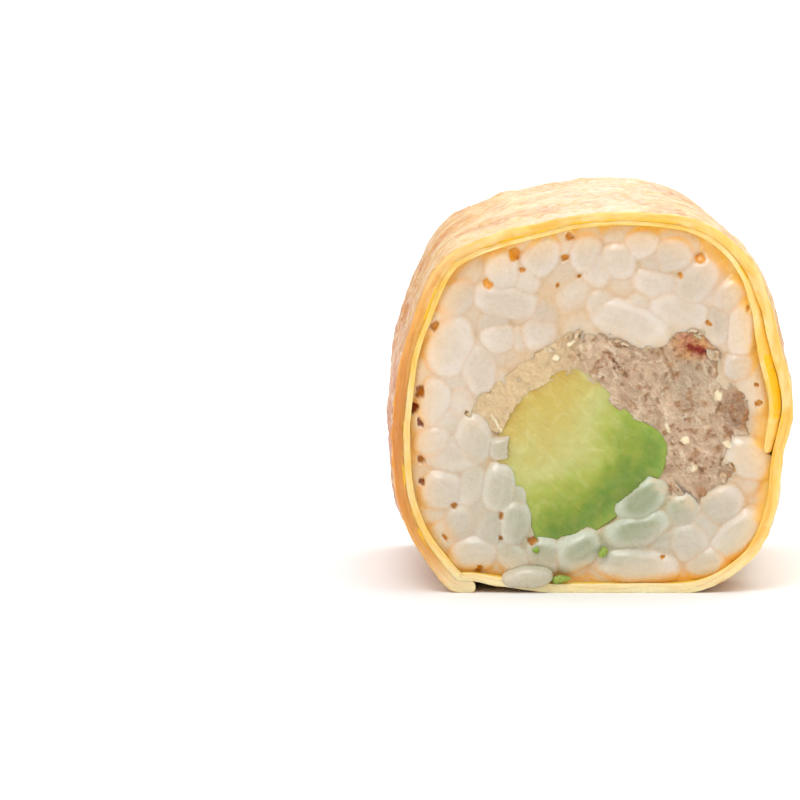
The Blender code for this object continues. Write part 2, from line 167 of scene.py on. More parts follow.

# Gaps that are left open between grains at the shown cut, coloured as painted glow from the egg and painted
# shade: middle across and up, size, and how dark and red
GAPS = (
    (-6.7, 28.8, 0.52, 0.0), (-9.0, 26.3, 0.45, 0.0), (-6.0, 27.5, 0.28, 0.1), (-2.1, 30.3, 0.3, 0.2),
    (-2.5, 28.5, 0.28, 0.1), (-1.3, 27.0, 0.22, 0.1), (-3.0, 26.2, 0.2, 0.1), (9.0, 28.5, 0.42, 0.0),
    (7.3, 27.0, 0.28, 0.0), (-13.5, 22.7, 0.4, 0.4), (-14.7, 17.1, 0.45, 0.7), (-15.3, 15.8, 0.5, 1.0),
    (-14.7, 14.5, 0.3, 0.9), (-14.6, 11.3, 0.25, 0.6), (-14.5, 9.4, 0.3, 0.8), (-11.8, 7.4, 0.24, 0.3),
    (-7.8, 6.6, 0.26, 0.4), (-7.8, 4.6, 0.26, 0.4), (-5.1, 4.4, 0.4, 0.5), (11.6, 10.6, 0.45, 0.0),
    (9.7, 22.9, 0.24, 0.1), (5.8, 3.0, 0.26, 0.1), (13.0, 24.2, 0.2, 0.0), (-12.6, 4.6, 0.26, 0.1),
    (13.8, 17.6, 0.26, 0.1), (13.95, 16.1, 0.3, 0.2), (-10.6, 15.2, 0.24, 0.5), (12.9, 21.3, 0.2, 0.0),
    (-9.7, 1.9, 0.36, 0.3),
)

# Grains that lie loose at the shown cut: across, how far out, up, length, width, turn, tilt out of the cut
LOOSE_GRAINS = ((-5.6, 15.0, 1.25, 4.3, 2.2, 4, 0),)

# Scraps of avocado at the shown cut: across, up, length, width, turn
SCRAPS = (
    (-2.8, 1.1, 1.7, 0.8, 10), (0.8, 3.4, 0.9, 0.7, 70), (-4.9, 3.7, 0.7, 0.6, 0),
    (-3.9, 1.6, 0.6, 0.4, 40),
)

# Middle of the stone that the avocado grew round: across and up
STONE_MIDDLE = (-10.5, 22.3)

# The flesh from the stone to the skin: share of the way, and colour as a screen shows it
FLESH_COLOURS = (
    (0.0, (194, 154, 54)), (0.13, (200, 172, 76)), (0.3, (198, 183, 98)), (0.47, (192, 192, 116)),
    (0.61, (168, 178, 70)), (0.71, (130, 154, 22)), (0.82, (98, 136, 10)), (0.95, (88, 126, 8)),
)

# Flaked tuna. PALE_FLAT is how far its pale left end is pressed flat
TUNA_SEEDS = (71, 72)
CRUMB_SEED = 83
FLAKES_AT_CUT = 200
TUNA_BED = -1.1
TUNA_TOP = -0.75
TUNA_OVERLAP = 0.8
AVOCADO_OVERLAP = 0.32
FLAKE_TURN = -48.0
FLAKE_DROP = 0.2
FLAKE_FLAT = 0.2
PALE_FLAT = 0.7
RING_FLAKE = (11.9, 15.5)
RING_SPACING = 0.5
DARK_CHUNK = (8.4, 21.2)
CREVICE = ((8.2, 20.9), (10.0, 20.3))
PITS = (
    (1.0, 20.5, 0.22), (6.5, 19.4, 0.34), (7.1, 18.6, 0.34), (2.7, 18.8, 0.22), (3.5, 18.9, 0.26),
    (3.9, 17.5, 0.26), (9.4, 16.1, 0.34), (11.7, 15.9, 0.3), (12.3, 16.4, 0.22), (9.9, 13.7, 0.34),
    (11.0, 11.2, 0.3), (9.1, 8.2, 0.22), (11.9, 15.5, 0.3), (8.2, 17.0, 0.3), (7.4, 20.2, 0.34),
    (10.6, 12.2, 0.3), (6.2, 17.4, 0.24), (-0.8, 22.3, 0.36), (0.5, 22.6, 0.4), (3.9, 21.3, 0.25),
    (2.7, 21.1, 0.2), (5.5, 20.4, 0.3), (-8.9, 17.2, 0.3),
)
FOLDS = (
    ((5.7, 20.9), (6.9, 18.0)), ((11.1, 14.1), (11.9, 13.1)), ((1.2, 20.4), (2.8, 18.4)),
    ((8.2, 11.4), (9.3, 10.2)),
)
GREY_ZONE = (8.2, 18.4)
CRUMBS = 24
WHITE_BITS = (
    (10.6, 16.8, 0.32, 0.45, 10), (11.4, 12.6, 0.55, 0.3, -40), (7.8, 13.0, 0.4, 0.35, 0),
    (-8.2, 14.4, 0.95, 0.14, -58), (6.3, 14.0, 0.5, 0.16, -62), (-1.9, 21.3, 0.5, 0.15, 40),
    (-3.2, 20.0, 0.3, 0.25, 0), (8.6, 10.6, 0.35, 0.2, 40),
)

# Camera and light, in metres, degrees and watts. A lamp has its name, place, power and size
LAMPS = (("key", (0.15, 0.25, 0.55), 1.5, 0.4), ("front", (-0.16, -0.42, 0.62), 1.6, 0.3))
LAMP_AIM = (0.0, 0.0, 0.016)
SKY_STRENGTH = 0.75
STUDIO_STRENGTH = 0.75
CAMERA_DISTANCE = 0.70
CAMERA_ELEVATION = 7.0
CAMERA_AIM = (-0.0164, -0.01525, 0.0165)
FRAME_WIDTH = 0.0677
SENSOR_WIDTH = 36.0


# --- Layout of the cut ---

def smooth_between(before, here, after, beyond, share):
    """A point of a smooth curve through four others, that share of the way from here to after."""
    slope, bend = (after - before) / 2, before - 2.5 * here + 2 * after - beyond / 2
    return here + share * (slope + share * (bend + share * (after - here - slope - bend)))


def rim_radius(angle):
    """Distance of the slice's side from the axis, on a smooth closed curve through RIM_RADII."""
    place = np.asarray(angle, float) / RIM_STEP
    first = np.floor(place).astype(int)
    around = (np.take(RIM_RADII, first + k, mode="wrap") for k in (-1, 0, 1, 2))
    return smooth_between(*around, place - first)


def above_floor(height):
    """The height, or 0 on the flat that the slice rests on, with a soft start to the curve beside it."""
    blend = (height + FLOOR_BLEND) ** 2 / (4 * FLOOR_BLEND)
    return np.where(height > FLOOR_BLEND, height, np.where(height < -FLOOR_BLEND, 0.0, blend))


def rim_point(angle):
    """A point of the slice's side, as (across, up)."""
    turn, radius = np.radians(angle), rim_radius(angle)
    return np.stack([radius * np.cos(turn), above_floor(AXIS_HEIGHT + radius * np.sin(turn))], axis=-1)


def rim_inward(angle):
    """The way into the slice, square to its side."""
    step = rim_point(angle + 1.0) - rim_point(angle - 1.0)
    inward = np.stack([-step[..., 1], step[..., 0]], axis=-1)
    return inward / np.linalg.norm(inward, axis=-1, keepdims=True)


def smooth_step(value, low, high):
    share = np.clip((value - low) / (high - low), 0, 1)
    return share * share * (3 - 2 * share)


def sheet_thickness(turn):
    """The sheet's thickness at a turn: less towards its inner end, and along the top of the slice."""
    from_top = (FLAP_ANGLE - turn - 90 + 180) % 360 - 180
    top = THIN_TOP_SHARE * np.exp(-((from_top / THIN_TOP_SPREAD) ** 2))
    return SHEET_THICKNESS * (1 - top) * (1 + (INNER_END_SHARE - 1) * smooth_step(turn, *THINNING_TURNS))


def sheet_inside(turn):
    """1 where the sheet is under its own first turn, and 0 where it shows."""
    return smooth_step(turn, *DIVE_TURNS)


def loose_gap(turn):
    """How far the sheet's inner end stands off the turn outside it."""
    return LOOSE_GAP * np.exp(-(((turn - LOOSE_TURN) / LOOSE_SPREAD) ** 2))


def sheet_depth(turn):
    """How far under the slice's side the sheet's outer face lies, where its turns touch."""
    return sheet_thickness(turn - 360) * sheet_inside(turn)


def rice_wall(spans, clearance=0.0):
    """The outline that the rice fills, inside the innermost turn of the sheet, anticlockwise."""
    angle = np.arange(spans) * 360.0 / spans
    first_turn = (FLAP_ANGLE - angle) % 360.0
    inner_turn = np.where(first_turn + 360 < INNER_END_TURN, first_turn + 360, first_turn)
    depth = sheet_depth(inner_turn) + loose_gap(inner_turn) + sheet_thickness(inner_turn)
    near = [np.roll(depth, k) for k in (-1, 0, 1)]
    return rim_point(angle) + (np.max(near, axis=0) + clearance)[:, None] * rim_inward(angle)


def smooth_outline(corners, spans):
    """A closed curve through the corners, with that many points on each stretch."""
    around = (np.roll(np.array(corners, float), k, axis=0)[:, None] for k in (1, 0, -1, -2))
    share = (np.arange(spans) / spans)[None, :, None]
    return smooth_between(*around, share).reshape(-1, 2)


def grown(outline, distance):
    """The outline moved outwards by a distance, for one that runs clockwise."""
    step = np.roll(outline, -1, axis=0) - np.roll(outline, 1, axis=0)
    outward = np.stack([-step[:, 1], step[:, 0]], axis=1)
    return outline + distance * outward / np.linalg.norm(outward, axis=1, keepdims=True)


def evenly(curve, count):
    """That many points at equal steps along an open curve."""
    run = np.concatenate([[0], np.cumsum(np.linalg.norm(np.diff(curve, axis=0), axis=1))])
    places = np.linspace(0, run[-1], count)
    return np.stack([np.interp(places, run, curve[:, k]) for k in (0, 1)], axis=1)


def tuna_sides(avocado_cut, clearance):
    """The tuna's outer side and its side along the avocado, both clockwise from its left end."""
    outer, inner = smooth_outline(TUNA_CORNERS, 6)[:-5], grown(avocado_cut, clearance)
    first, last = (np.linalg.norm(inner - outer[end], axis=1).argmin() for end in (0, -1))
    along = [(first + k) % len(inner) for k in range((last - first) % len(inner) + 1)]
    return outer, inner[along]


def room_inside(points, outline):
    """How far inside a closed outline each point is, below 0 outside it, and the way further in."""
    along = np.roll(outline, -1, axis=0) - outline
    offset = points[:, None] - outline
    share = np.clip((offset * along).sum(2) / (along**2).sum(1), 0, 1)
    gap = offset - share[..., None] * along
    distance = np.linalg.norm(gap, axis=2)
    nearest = (np.arange(len(points)), distance.argmin(1))
    level = (outline[:, 1] > points[:, 1:]) != (np.roll(outline[:, 1], -1) > points[:, 1:])
    rise = np.where(along[:, 1] == 0, 1.0, along[:, 1])
    crossed = level & (offset[..., 0] < offset[..., 1] / rise * along[:, 0])
    side = np.where(crossed.sum(1) % 2, 1.0, -1.0)
    reach = np.maximum(distance[nearest], 1e-9)
    return side * reach, (side / reach)[:, None] * gap[nearest]


def room_and_way(points, wall, fillings):
    """The least room that each point has in the wall and outside the fillings, and the way to more."""
    room, way = room_inside(points, wall)
    for filling in fillings:
        depth, inward = room_inside(points, filling)
        closer = -depth < room
        room = np.where(closer, -depth, room)
        way = np.where(closer[:, None], -inward, way)
    return room, way


def hollow_outline(fillings, spans):
    """The outline round all the fillings, as seen from the middle of the hollow in the rice, anticlockwise.

    It steps in or out by no more than HOLLOW_STEP from one point to the next, and cuts off the fillings'
    ends for that.
    """
    turn = np.arange(spans) * 2 * math.pi / spans
    way = np.stack([np.cos(turn), np.sin(turn)], axis=1)
    reach = np.linspace(2, 16, 141)
    points = (HOLLOW_MIDDLE + reach[:, None, None] * way).reshape(-1, 2)
    filled = np.max([room_inside(points, filling)[0] > 0 for filling in fillings], axis=0)
    furthest = np.max(np.where(filled.reshape(len(reach), spans), reach[:, None], 0), axis=0)
    for _ in range(spans // 4):
        beside = np.minimum(np.roll(furthest, 1), np.roll(furthest, -1))
        furthest = np.minimum(furthest, beside + HOLLOW_STEP)
    return HOLLOW_MIDDLE + furthest[:, None] * way


# --- Meshes ---

def uneven(points, size, seed=0, octaves=3):
    """Smooth noise at each point, about -1 to 1, with features of that size."""
    shift = Vector((seed * 17.3, seed * -9.1, seed * 5.7))
    return np.array([noise.fractal(Vector(p) + shift, 1.0, 2.0, octaves) for p in points / size])


def creases(points, size, seed=0):
    """Narrow ridges at each point, from 0 to 1 at the crest, with that spacing."""
    return np.clip(1 - 3.2 * np.abs(uneven(points, size, seed, 2)), 0, 1) ** 2


def in_space(spots):
    """Places in the cut, as (across, up), given as points in space."""
    return np.column_stack([spots[:, 0], np.zeros(len(spots)), spots[:, 1]])


def sagged(points):
    """The points let in towards the axis at the upper right, more and more towards the back."""
    offset = points[:, [0, 2]] - (0.0, AXIS_HEIGHT)
    reach = np.maximum(np.hypot(*offset.T), 1e-6)
    off_angle = np.degrees(np.arctan2(offset[:, 1], offset[:, 0])) - SAG_ANGLE
    sag = SAG * smooth_step(points[:, 1], -13.0, 13.0) * np.exp(-((off_angle / SAG_SPREAD) ** 2))
    offset *= (sag * (reach / 17.0) ** 2 / reach)[:, None]
    return points - in_space(offset)


def as_mesh(name, points, faces):
    """A mesh from points in millimetres, with its faces pointing outwards."""
    mesh = bpy.data.meshes.new(name)
    mesh.from_pydata((sagged(points) * MM).tolist(), [], faces)
    work = bmesh.new()
    work.from_mesh(mesh)
    bmesh.ops.recalc_face_normals(work, faces=work.faces)
    work.to_mesh(mesh)
    work.free()
    mesh.shade_smooth()
    return mesh


def new_object(name, mesh, material=None):
    obj = bpy.data.objects.new(name, mesh)
    bpy.context.scene.collection.objects.link(obj)
    if material:
        mesh.materials.append(material)
    return obj


def keep_values(mesh, name, values):
    """Stores one number, or one vector, for each point of a mesh."""
    vector = np.ndim(values) == 2
    attribute = mesh.attributes.new(name, "FLOAT_VECTOR" if vector else "FLOAT", "POINT")
    attribute.data.foreach_set("vector" if vector else "value", np.ravel(values).astype(np.float32))


def roughened(mesh, amount, size, seed):
    """Moves a mesh's points about by smooth noise, and gives them in millimetres."""
    points = np.zeros(len(mesh.vertices) * 3, np.float32)
    mesh.vertices.foreach_get("co", points)
    points = points.reshape(-1, 3).astype(float) / MM
    points += amount * np.stack([uneven(points, size, seed + k, octaves=2) for k in range(3)], axis=1)
    mesh.vertices.foreach_set("co", (points * MM).ravel().astype(np.float32))
    mesh.update()
    return points


def slab_loop(across, along):
    """The places round one loop of a slab, from steps 0 to 1 across it and -1 to 1 along it."""
    loop_across = [across, np.ones(len(along) - 2), across[::-1], np.zeros(len(along) - 2)]
    loop_along = [-np.ones(len(across)), along[1:-1], np.ones(len(across)), along[::-1][1:-1]]
    return np.concatenate(loop_across), np.concatenate(loop_along)


def slab_faces(stations, across, along, closed=False):
    """Quads between the loops of a slab, and the faces of its ends where it isn't a closed ring."""
    loop = 2 * (across + along) - 4
    station = np.arange(stations if closed else stations - 1)[:, None]
    place = np.arange(loop)[None, :]
    after, beside = (station + 1) % stations, (place + 1) % loop
    corners = [station * loop + place, station * loop + beside, after * loop + beside, after * loop + place]
    faces = np.stack(np.broadcast_arrays(*corners), axis=-1).reshape(-1, 4).tolist()
    for start in () if closed else (0, (stations - 1) * loop):
        faces += end_faces(start, across, along)
    return faces


def end_faces(start, across, along):
    """Faces that close a slab's end: quads between its two long sides, and one face beside each cut."""
    loop = 2 * (across + along) - 4
    far = [across - 1 + k for k in range(along)]
    near = [(loop - k) % loop for k in range(along)]
    quads = [[far[k], far[k + 1], near[k + 1], near[k]] for k in range(along - 1)]
    cuts = [list(range(across)), list(range(across + along - 2, 2 * across + along - 2))]
    return [[start + place for place in face] for face in quads + cuts]


def rounded(across, along, width, length, radius):
    """Places on the edge of a rectangle, moved in to give it round corners."""
    radius = np.minimum(radius, np.minimum(width, length) / 2.2)
    inner_across = np.clip(across, radius, width - radius)
    inner_along = np.clip(along, radius - length / 2, length / 2 - radius)
    out_across, out_along = across - inner_across, along - inner_along
    reach = np.maximum(np.hypot(out_across, out_along), 1e-9)
    return inner_across + out_across / reach * radius, inner_along + out_along / reach * radius


def clustered(spans, ends):
    """Steps from 0 to 1 that lie closer together at both ends, by that share."""
    even = np.linspace(0, 1, spans + 1)
    return (1 - ends) * even + ends * (1 - np.cos(math.pi * even)) / 2


def slab(near, far, length, across, along, radius):
    """The points of a slab between two curves in the cut, and how far each lies in from the near curve."""
    loop_across, loop_along = slab_loop(across, along)
    width = np.linalg.norm(far - near, axis=1)[:, None]
    inset, depth = rounded(loop_across * width, loop_along * length / 2, width, length, radius)
    flat = near[:, None] + inset[..., None] * ((far - near) / width)[:, None]
    return np.stack([flat[..., 0], depth, flat[..., 1]], axis=-1), inset


def spread(values, grid):
    """Values for each station or each place of a loop, given to all the points of a slab."""
    return np.broadcast_to(values, grid.shape).ravel()


def through(near, far, spans, closed):
    """A body between two curves from cut to cut: its points and faces, and -1 or 1 at its cuts' points."""
    across, along = clustered(spans, 0.15), np.linspace(-1, 1, 5)
    points, inset = slab(near, far, ROLL_LENGTH, across, along, 0.01)
    loop_along = slab_loop(across, along)[1]
    faces = slab_faces(len(near), len(across), len(along), closed)
    cut = spread(np.where(np.abs(loop_along) == 1, loop_along, 0), inset)
    return points.reshape(-1, 3), faces, cut


# --- Lumps pressed together at a cut ---

Lumps = namedtuple("Lumps", "middles halves turns tops slopes tones")
Pressed = namedtuple("Pressed", "height owner out seam")


def own_place(points, lumps, number):
    """Places along and across a lump, or each its own lump, from its middle."""
    offset, turn = points - lumps.middles[number], lumps.turns[number]
    along = offset[:, 0] * np.cos(turn) + offset[:, 1] * np.sin(turn)
    return along, offset[:, 1] * np.cos(turn) - offset[:, 0] * np.sin(turn)


def pressed(points, lumps, bed, drop, flat_share):
    """Lumps with flat tops and round shoulders, pressed into a bed and each other, as seen at each point.

    Gives the height, the lump that shows, how far out on it the point is, and how near the next lump is.
    """
    height, second = np.full(len(points), bed), np.full(len(points), bed - 1.0)
    owner, owner_out = np.zeros(len(points), int), np.ones(len(points))
    for number, (half, top, slope) in enumerate(zip(lumps.halves, lumps.tops, lumps.slopes)):
        along, aside = own_place(points, lumps, number)
        out = (np.abs(along / half[0]) ** 2.3 + np.abs(aside / half[1]) ** 2.3) ** (1 / 2.3)
        shoulder = np.clip((out - flat_share) / (1 - flat_share), 0, None)
        level = top + (points - lumps.middles[number]) @ slope - drop * (shoulder**2 + 0.15 * out**2)
        higher = level > height
        second = np.where(higher, height, np.maximum(second, level))
        height = np.where(higher, level, height)
        owner = np.where(higher, number, owner)
        owner_out = np.where(higher, out, owner_out)
    soft = 0.09 * drop
    # seam: where the next lump comes near, which the materials paint darker as shade.
    seam = smooth_step(height - second, 5.0 * soft, 0.0)
    return Pressed(height + soft * np.log1p(np.exp((second - height) / soft)), owner, owner_out, seam)


def warped(points, size, amount, seed):
    """Places in the cut, moved about by smooth noise."""
    deep = in_space(points)
    return points + amount * np.stack([uneven(deep, size, seed + k, octaves=2) for k in (0, 1)], axis=1)


# --- Node trees ---

def add_node(tree, kind, inputs=(), **settings):
    """A node whose inputs, by name or number, are given a value or linked to a socket."""
    node = tree.nodes.new(kind)
    for name, value in settings.items():
        setattr(node, name, value)
    for key, value in dict(inputs).items():
        if isinstance(value, bpy.types.NodeSocket):
            tree.links.new(value, node.inputs[key])
        else:
            node.inputs[key].default_value = value
    return node


def screen_colour(red, green, blue):
    """A colour as a screen shows it, 0 to 255, in linear values."""
    shares = (value / 255 for value in (red, green, blue))
    return (*(s / 12.92 if s <= 0.04045 else ((s + 0.055) / 1.055) ** 2.4 for s in shares), 1.0)


def mixed(tree, share, first, second):
    """The socket of two colours mixed by a share."""
    return add_node(tree, "ShaderNodeMix", {0: share, 6: first, 7: second}, data_type="RGBA").outputs[2]


def two_tones(tree, share, first, second):
    """Two colours, as a screen shows them, mixed by a share."""
    return mixed(tree, share, screen_colour(*first), screen_colour(*second))


def maths(tree, operation, *values):
    return add_node(tree, "ShaderNodeMath", dict(enumerate(values)), operation=operation).outputs[0]


def times(tree, first, second):
    return maths(tree, "MULTIPLY", first, second)


def tinted(tree, body, mask, share, *colour):
    """A colour that is turned to another, as a screen shows it, by a share of a mask."""
    return mixed(tree, times(tree, mask, share), body, screen_colour(*colour))


def between(tree, value, low, high, to_low=0.0, to_high=1.0):
    """A value taken from one range to another, smoothly and no further."""
    inputs = {"Value": value, "From Min": low, "From Max": high, "To Min": to_low, "To Max": to_high}
    return add_node(tree, "ShaderNodeMapRange", inputs, interpolation_type="SMOOTHSTEP").outputs[0]


def ramp(tree, share, stops):
    """Colours along a share, from pairs of a share and a colour as a screen shows it."""
    node = add_node(tree, "ShaderNodeValToRGB", {"Fac": share})
    elements = node.color_ramp.elements
    while len(elements) < len(stops):
        elements.new(0.5)
    for element, (place, colour) in zip(elements, stops):
        element.position = place
        element.color = screen_colour(*colour)
    return node.outputs["Color"]


def kept(tree, name, kind="Fac"):
    """The socket of a value that the piece's mesh keeps."""
    return add_node(tree, "ShaderNodeAttribute", attribute_name=name).outputs[kind]


def mask_group(name, **values):
    """A shader node group that takes a place and named values, and gives a mask."""
    group = bpy.data.node_groups.new(name, "ShaderNodeTree")
    group.interface.new_socket("Place", in_out="INPUT", socket_type="NodeSocketVector")
    for label, value in values.items():
        socket = group.interface.new_socket(label.title(), in_out="INPUT", socket_type="NodeSocketFloat")
        socket.default_value = value
    group.interface.new_socket("Mask", in_out="OUTPUT", socket_type="NodeSocketFloat")
    return group, group.nodes.new("NodeGroupInput"), group.nodes.new("NodeGroupOutput")


def sized_place(tree, place, size, stretch):
    """A place in metres turned into steps of a size in millimetres, stretched along its first direction."""
    scaled = add_node(tree, "ShaderNodeVectorMath", {0: place, "Scale": maths(tree, "DIVIDE", 1000.0, size)},
                      operation="SCALE").outputs[0]
    longer = add_node(tree, "ShaderNodeCombineXYZ", {0: maths(tree, "DIVIDE", 1.0, stretch), 1: 1.0, 2: 1.0})
    placed = add_node(tree, "ShaderNodeVectorMath", {0: scaled, 1: longer.outputs[0]}, operation="MULTIPLY")
    return placed.outputs[0]


def patches_group():
    """Soft patches of a size, as a mask."""
    group, given, result = mask_group(
        "patches", size=5.0, stretch=1.0, detail=4.0, swirl=0.5, low=0.35, high=0.65)
    place = sized_place(group, given.outputs["Place"], given.outputs["Size"], given.outputs["Stretch"])
    pattern = add_node(group, "ShaderNodeTexNoise", {
        "Vector": place, "Scale": 1.0, "Detail": given.outputs["Detail"],
        "Distortion": given.outputs["Swirl"]})
    mask = between(group, pattern.outputs[0], given.outputs["Low"], given.outputs["High"])
    group.links.new(mask, result.inputs["Mask"])
    return group


def veins_group():
    """A net of thin irregular lines of a spacing, as a mask that is 1 on the lines."""
    group, given, result = mask_group("veins", size=2.0, stretch=1.0, width=0.1, swirl=0.6)
    place = sized_place(group, given.outputs["Place"], given.outputs["Size"], given.outputs["Stretch"])
    bent = add_node(group, "ShaderNodeTexNoise", {"Vector": place, "Scale": 1.1, "Detail": 4.0})
    swirl = add_node(group, "ShaderNodeVectorMath", {0: bent.outputs[1], "Scale": given.outputs["Swirl"]},
                     operation="SCALE").outputs[0]
    moved = add_node(group, "ShaderNodeVectorMath", {0: place, 1: swirl}, operation="ADD").outputs[0]
    cells = add_node(group, "ShaderNodeTexVoronoi", {"Vector": moved, "Scale": 1.0},
                     feature="DISTANCE_TO_EDGE")
    mask = between(group, cells.outputs["Distance"], given.outputs["Width"], 0.0)
    group.links.new(mask, result.inputs["Mask"])
    return group


def specks_group():
    """Sparse small spots, as a mask."""
    group, given, result = mask_group("specks", size=3.0, share=0.2, spot=0.1)
    place = sized_place(group, given.outputs["Place"], given.outputs["Size"], 1.0)
    cells = add_node(group, "ShaderNodeTexVoronoi", {"Vector": place, "Scale": 1.0})
    reach = given.outputs["Spot"]
    spot = between(group, cells.outputs["Distance"], reach, times(group, reach, 0.4))
    tone = add_node(group, "ShaderNodeSeparateColor", {0: cells.outputs["Color"]}).outputs[0]
    chosen = maths(group, "LESS_THAN", tone, given.outputs["Share"])
    group.links.new(times(group, spot, chosen), result.inputs["Mask"])
    return group


GROUPS = {"patches": patches_group(), "veins": veins_group(), "specks": specks_group()}


def mask_of(tree, group, place, **values):
    """The mask that a shared group makes at a place, with its own values."""
    node = tree.nodes.new("ShaderNodeGroup")
    node.node_tree = GROUPS[group]
    tree.links.new(place, node.inputs["Place"])
    for name, value in values.items():
        node.inputs[name.title()].default_value = value
    return node.outputs["Mask"]


def patches(tree, place, **values):
    return mask_of(tree, "patches", place, **values)


def new_material(name, roughness, softness, radius, coat=0.0):
    """A material, its tree and its shader, which lets light in to a share and to depths in millimetres."""
    material = bpy.data.materials.new(name)
    material.use_nodes = True
    shader = material.node_tree.nodes["Principled BSDF"]
    shader.inputs["Roughness"].default_value = roughness
    shader.inputs["Subsurface Weight"].default_value = softness
    shader.inputs["Subsurface Radius"].default_value = radius
    shader.inputs["Subsurface Scale"].default_value = MM
    shader.inputs["Coat Weight"].default_value = coat
    shader.inputs["Coat Roughness"].default_value = 0.15
    return material, material.node_tree, shader


def object_place(tree):
    return add_node(tree, "ShaderNodeTexCoord").outputs["Object"]


def turned_place(tree, place, degrees):
    """A place turned about the slice's axis."""
    turn = (0.0, math.radians(degrees), 0.0)
    return add_node(tree, "ShaderNodeMapping", {"Vector": place, "Rotation": turn}).outputs[0]


def bump_from(tree, shader, height, distance):
    """Fine relief from a height, with its depth in millimetres."""
    node = add_node(tree, "ShaderNodeBump", {"Height": height, "Distance": distance * MM, "Strength": 1.0})
    tree.links.new(node.outputs[0], shader.inputs["Normal"])


# --- Materials ---

def egg_skin(tree):
    """The skin's colour and its relief: mottled gold and brown, cream where it was lifted off the pan,
    browner with painted shade on the left, and pale with a painted highlight along the top.
    """
    place = kept(tree, "sheet_place", "Vector")
    cream = patches(tree, place, size=11.0, stretch=1.2, detail=5.0, swirl=2.2, low=0.44, high=0.60)
    browned = patches(tree, place, size=7.5, stretch=1.5, detail=6.0, swirl=2.6, low=0.46, high=0.66)
    deep = patches(tree, place, size=3.6, stretch=1.6, detail=6.0, swirl=2.0, low=0.50, high=0.72)
    mottle = patches(tree, place, size=1.7, stretch=1.2, detail=6.0, swirl=2.4, low=0.34, high=0.68)
    fine = patches(tree, place, size=0.55, stretch=1.5, detail=4.0, swirl=1.0, low=0.3, high=0.7)
    streaks = patches(tree, place, size=1.1, stretch=9.0, detail=4.0, swirl=0.8, low=0.56, high=0.74)
    net = mask_of(tree, "veins", place, size=8.0, stretch=1.2, width=0.07, swirl=2.4)
    specks = mask_of(tree, "specks", place, size=3.8, share=0.14, spot=0.06)
    skin = two_tones(tree, mottle, (236, 180, 72), (228, 162, 48))
    skin = mixed(tree, browned, skin, two_tones(tree, mottle, (222, 144, 34), (206, 120, 26)))
    skin = tinted(tree, skin, deep, browned, 176, 92, 26)
    skin = mixed(tree, cream, skin, two_tones(tree, mottle, (246, 214, 148), (240, 196, 116)))
    skin = tinted(tree, skin, streaks, 0.7, 182, 104, 40)
    # Browned skin on the left, darkened further as painted shade.
    skin = tinted(tree, skin, kept(tree, "brown_and_shade"), 0.85, 192, 96, 28)
    # Painted highlight: the skin along the top is painted pale, as glare.
    pale = times(tree, kept(tree, "painted_glare"), between(tree, mottle, 1.0, 0.0, 0.4, 1.0))
    skin = mixed(tree, pale, skin, screen_colour(253, 234, 212))
    lines = maths(tree, "MAXIMUM", times(tree, net, 0.45), times(tree, kept(tree, "crease"), 0.7))
    skin = mixed(tree, lines, skin, screen_colour(248, 222, 172))
    skin = tinted(tree, skin, fine, 0.1, 204, 124, 44)
    skin = tinted(tree, skin, specks, 0.8, 110, 62, 36)
    relief = maths(tree, "ADD", times(tree, mottle, 0.8), times(tree, fine, 0.5))
    return skin, relief, fine


def egg_cut(tree):
    """The sheet's cut and its relief: yellow, browner at its skin and on the left, where painted shade
    darkens it too, with bright streaks between its turns.
    """
    place, share, inner = kept(tree, "layer_place", "Vector"), kept(tree, "share"), kept(tree, "inner")
    flow = patches(tree, place, size=0.45, stretch=9.0, detail=3.0, swirl=0.3, low=0.44, high=0.68)
    cloud = patches(tree, place, size=1.6, stretch=2.0, detail=4.0, swirl=1.0, low=0.35, high=0.65)
    stretches = patches(tree, place, size=2.6, stretch=2.4, detail=3.0, swirl=0.6, low=0.44, high=0.62)
    dashes = patches(tree, place, size=0.9, stretch=3.0, detail=2.0, swirl=0.2, low=0.50, high=0.58)
    body = two_tones(tree, share, (252, 214, 132), (252, 184, 72))
    body = mixed(tree, inner, body, screen_colour(252, 202, 118))
    body = tinted(tree, body, cloud, 0.5, 255, 232, 178)
    body = tinted(tree, body, stretches, 0.6, 252, 190, 62)
    # Browner and darker on the left of the cut: browning and painted shade.
    amber = maths(tree, "ADD", times(tree, kept(tree, "brown_and_shade"), 0.45), 0.35)
    body = tinted(tree, body, flow, amber, 244, 166, 38)
    body = tinted(tree, body, kept(tree, "brown_and_shade"), 0.9, 202, 126, 54)
    outer = maths(tree, "SUBTRACT", 1.0, inner)
    joint = maths(tree, "MAXIMUM", times(tree, between(tree, share, 0.72, 0.92), outer),
                  times(tree, between(tree, share, 0.2, 0.05), inner))
    joint = times(tree, joint, kept(tree, "doubled"))
    body = tinted(tree, body, joint, dashes, 255, 190, 14)
    height = add_node(tree, "ShaderNodeSeparateXYZ", {0: object_place(tree)}).outputs["Z"]
    body = mixed(tree, between(tree, height, 0.004, 0.0, 0.0, 0.7), body, screen_colour(246, 232, 190))
    # A dark orange outer edge on the left: browned skin seen edge-on, with painted shade.
    edge = times(tree, between(tree, share, 0.12, 0.0), times(tree, kept(tree, "brown_and_shade"), 0.8))
    body = mixed(tree, edge, body, screen_colour(238, 156, 56))
    return body, times(tree, maths(tree, "ADD", flow, cloud), 0.5)


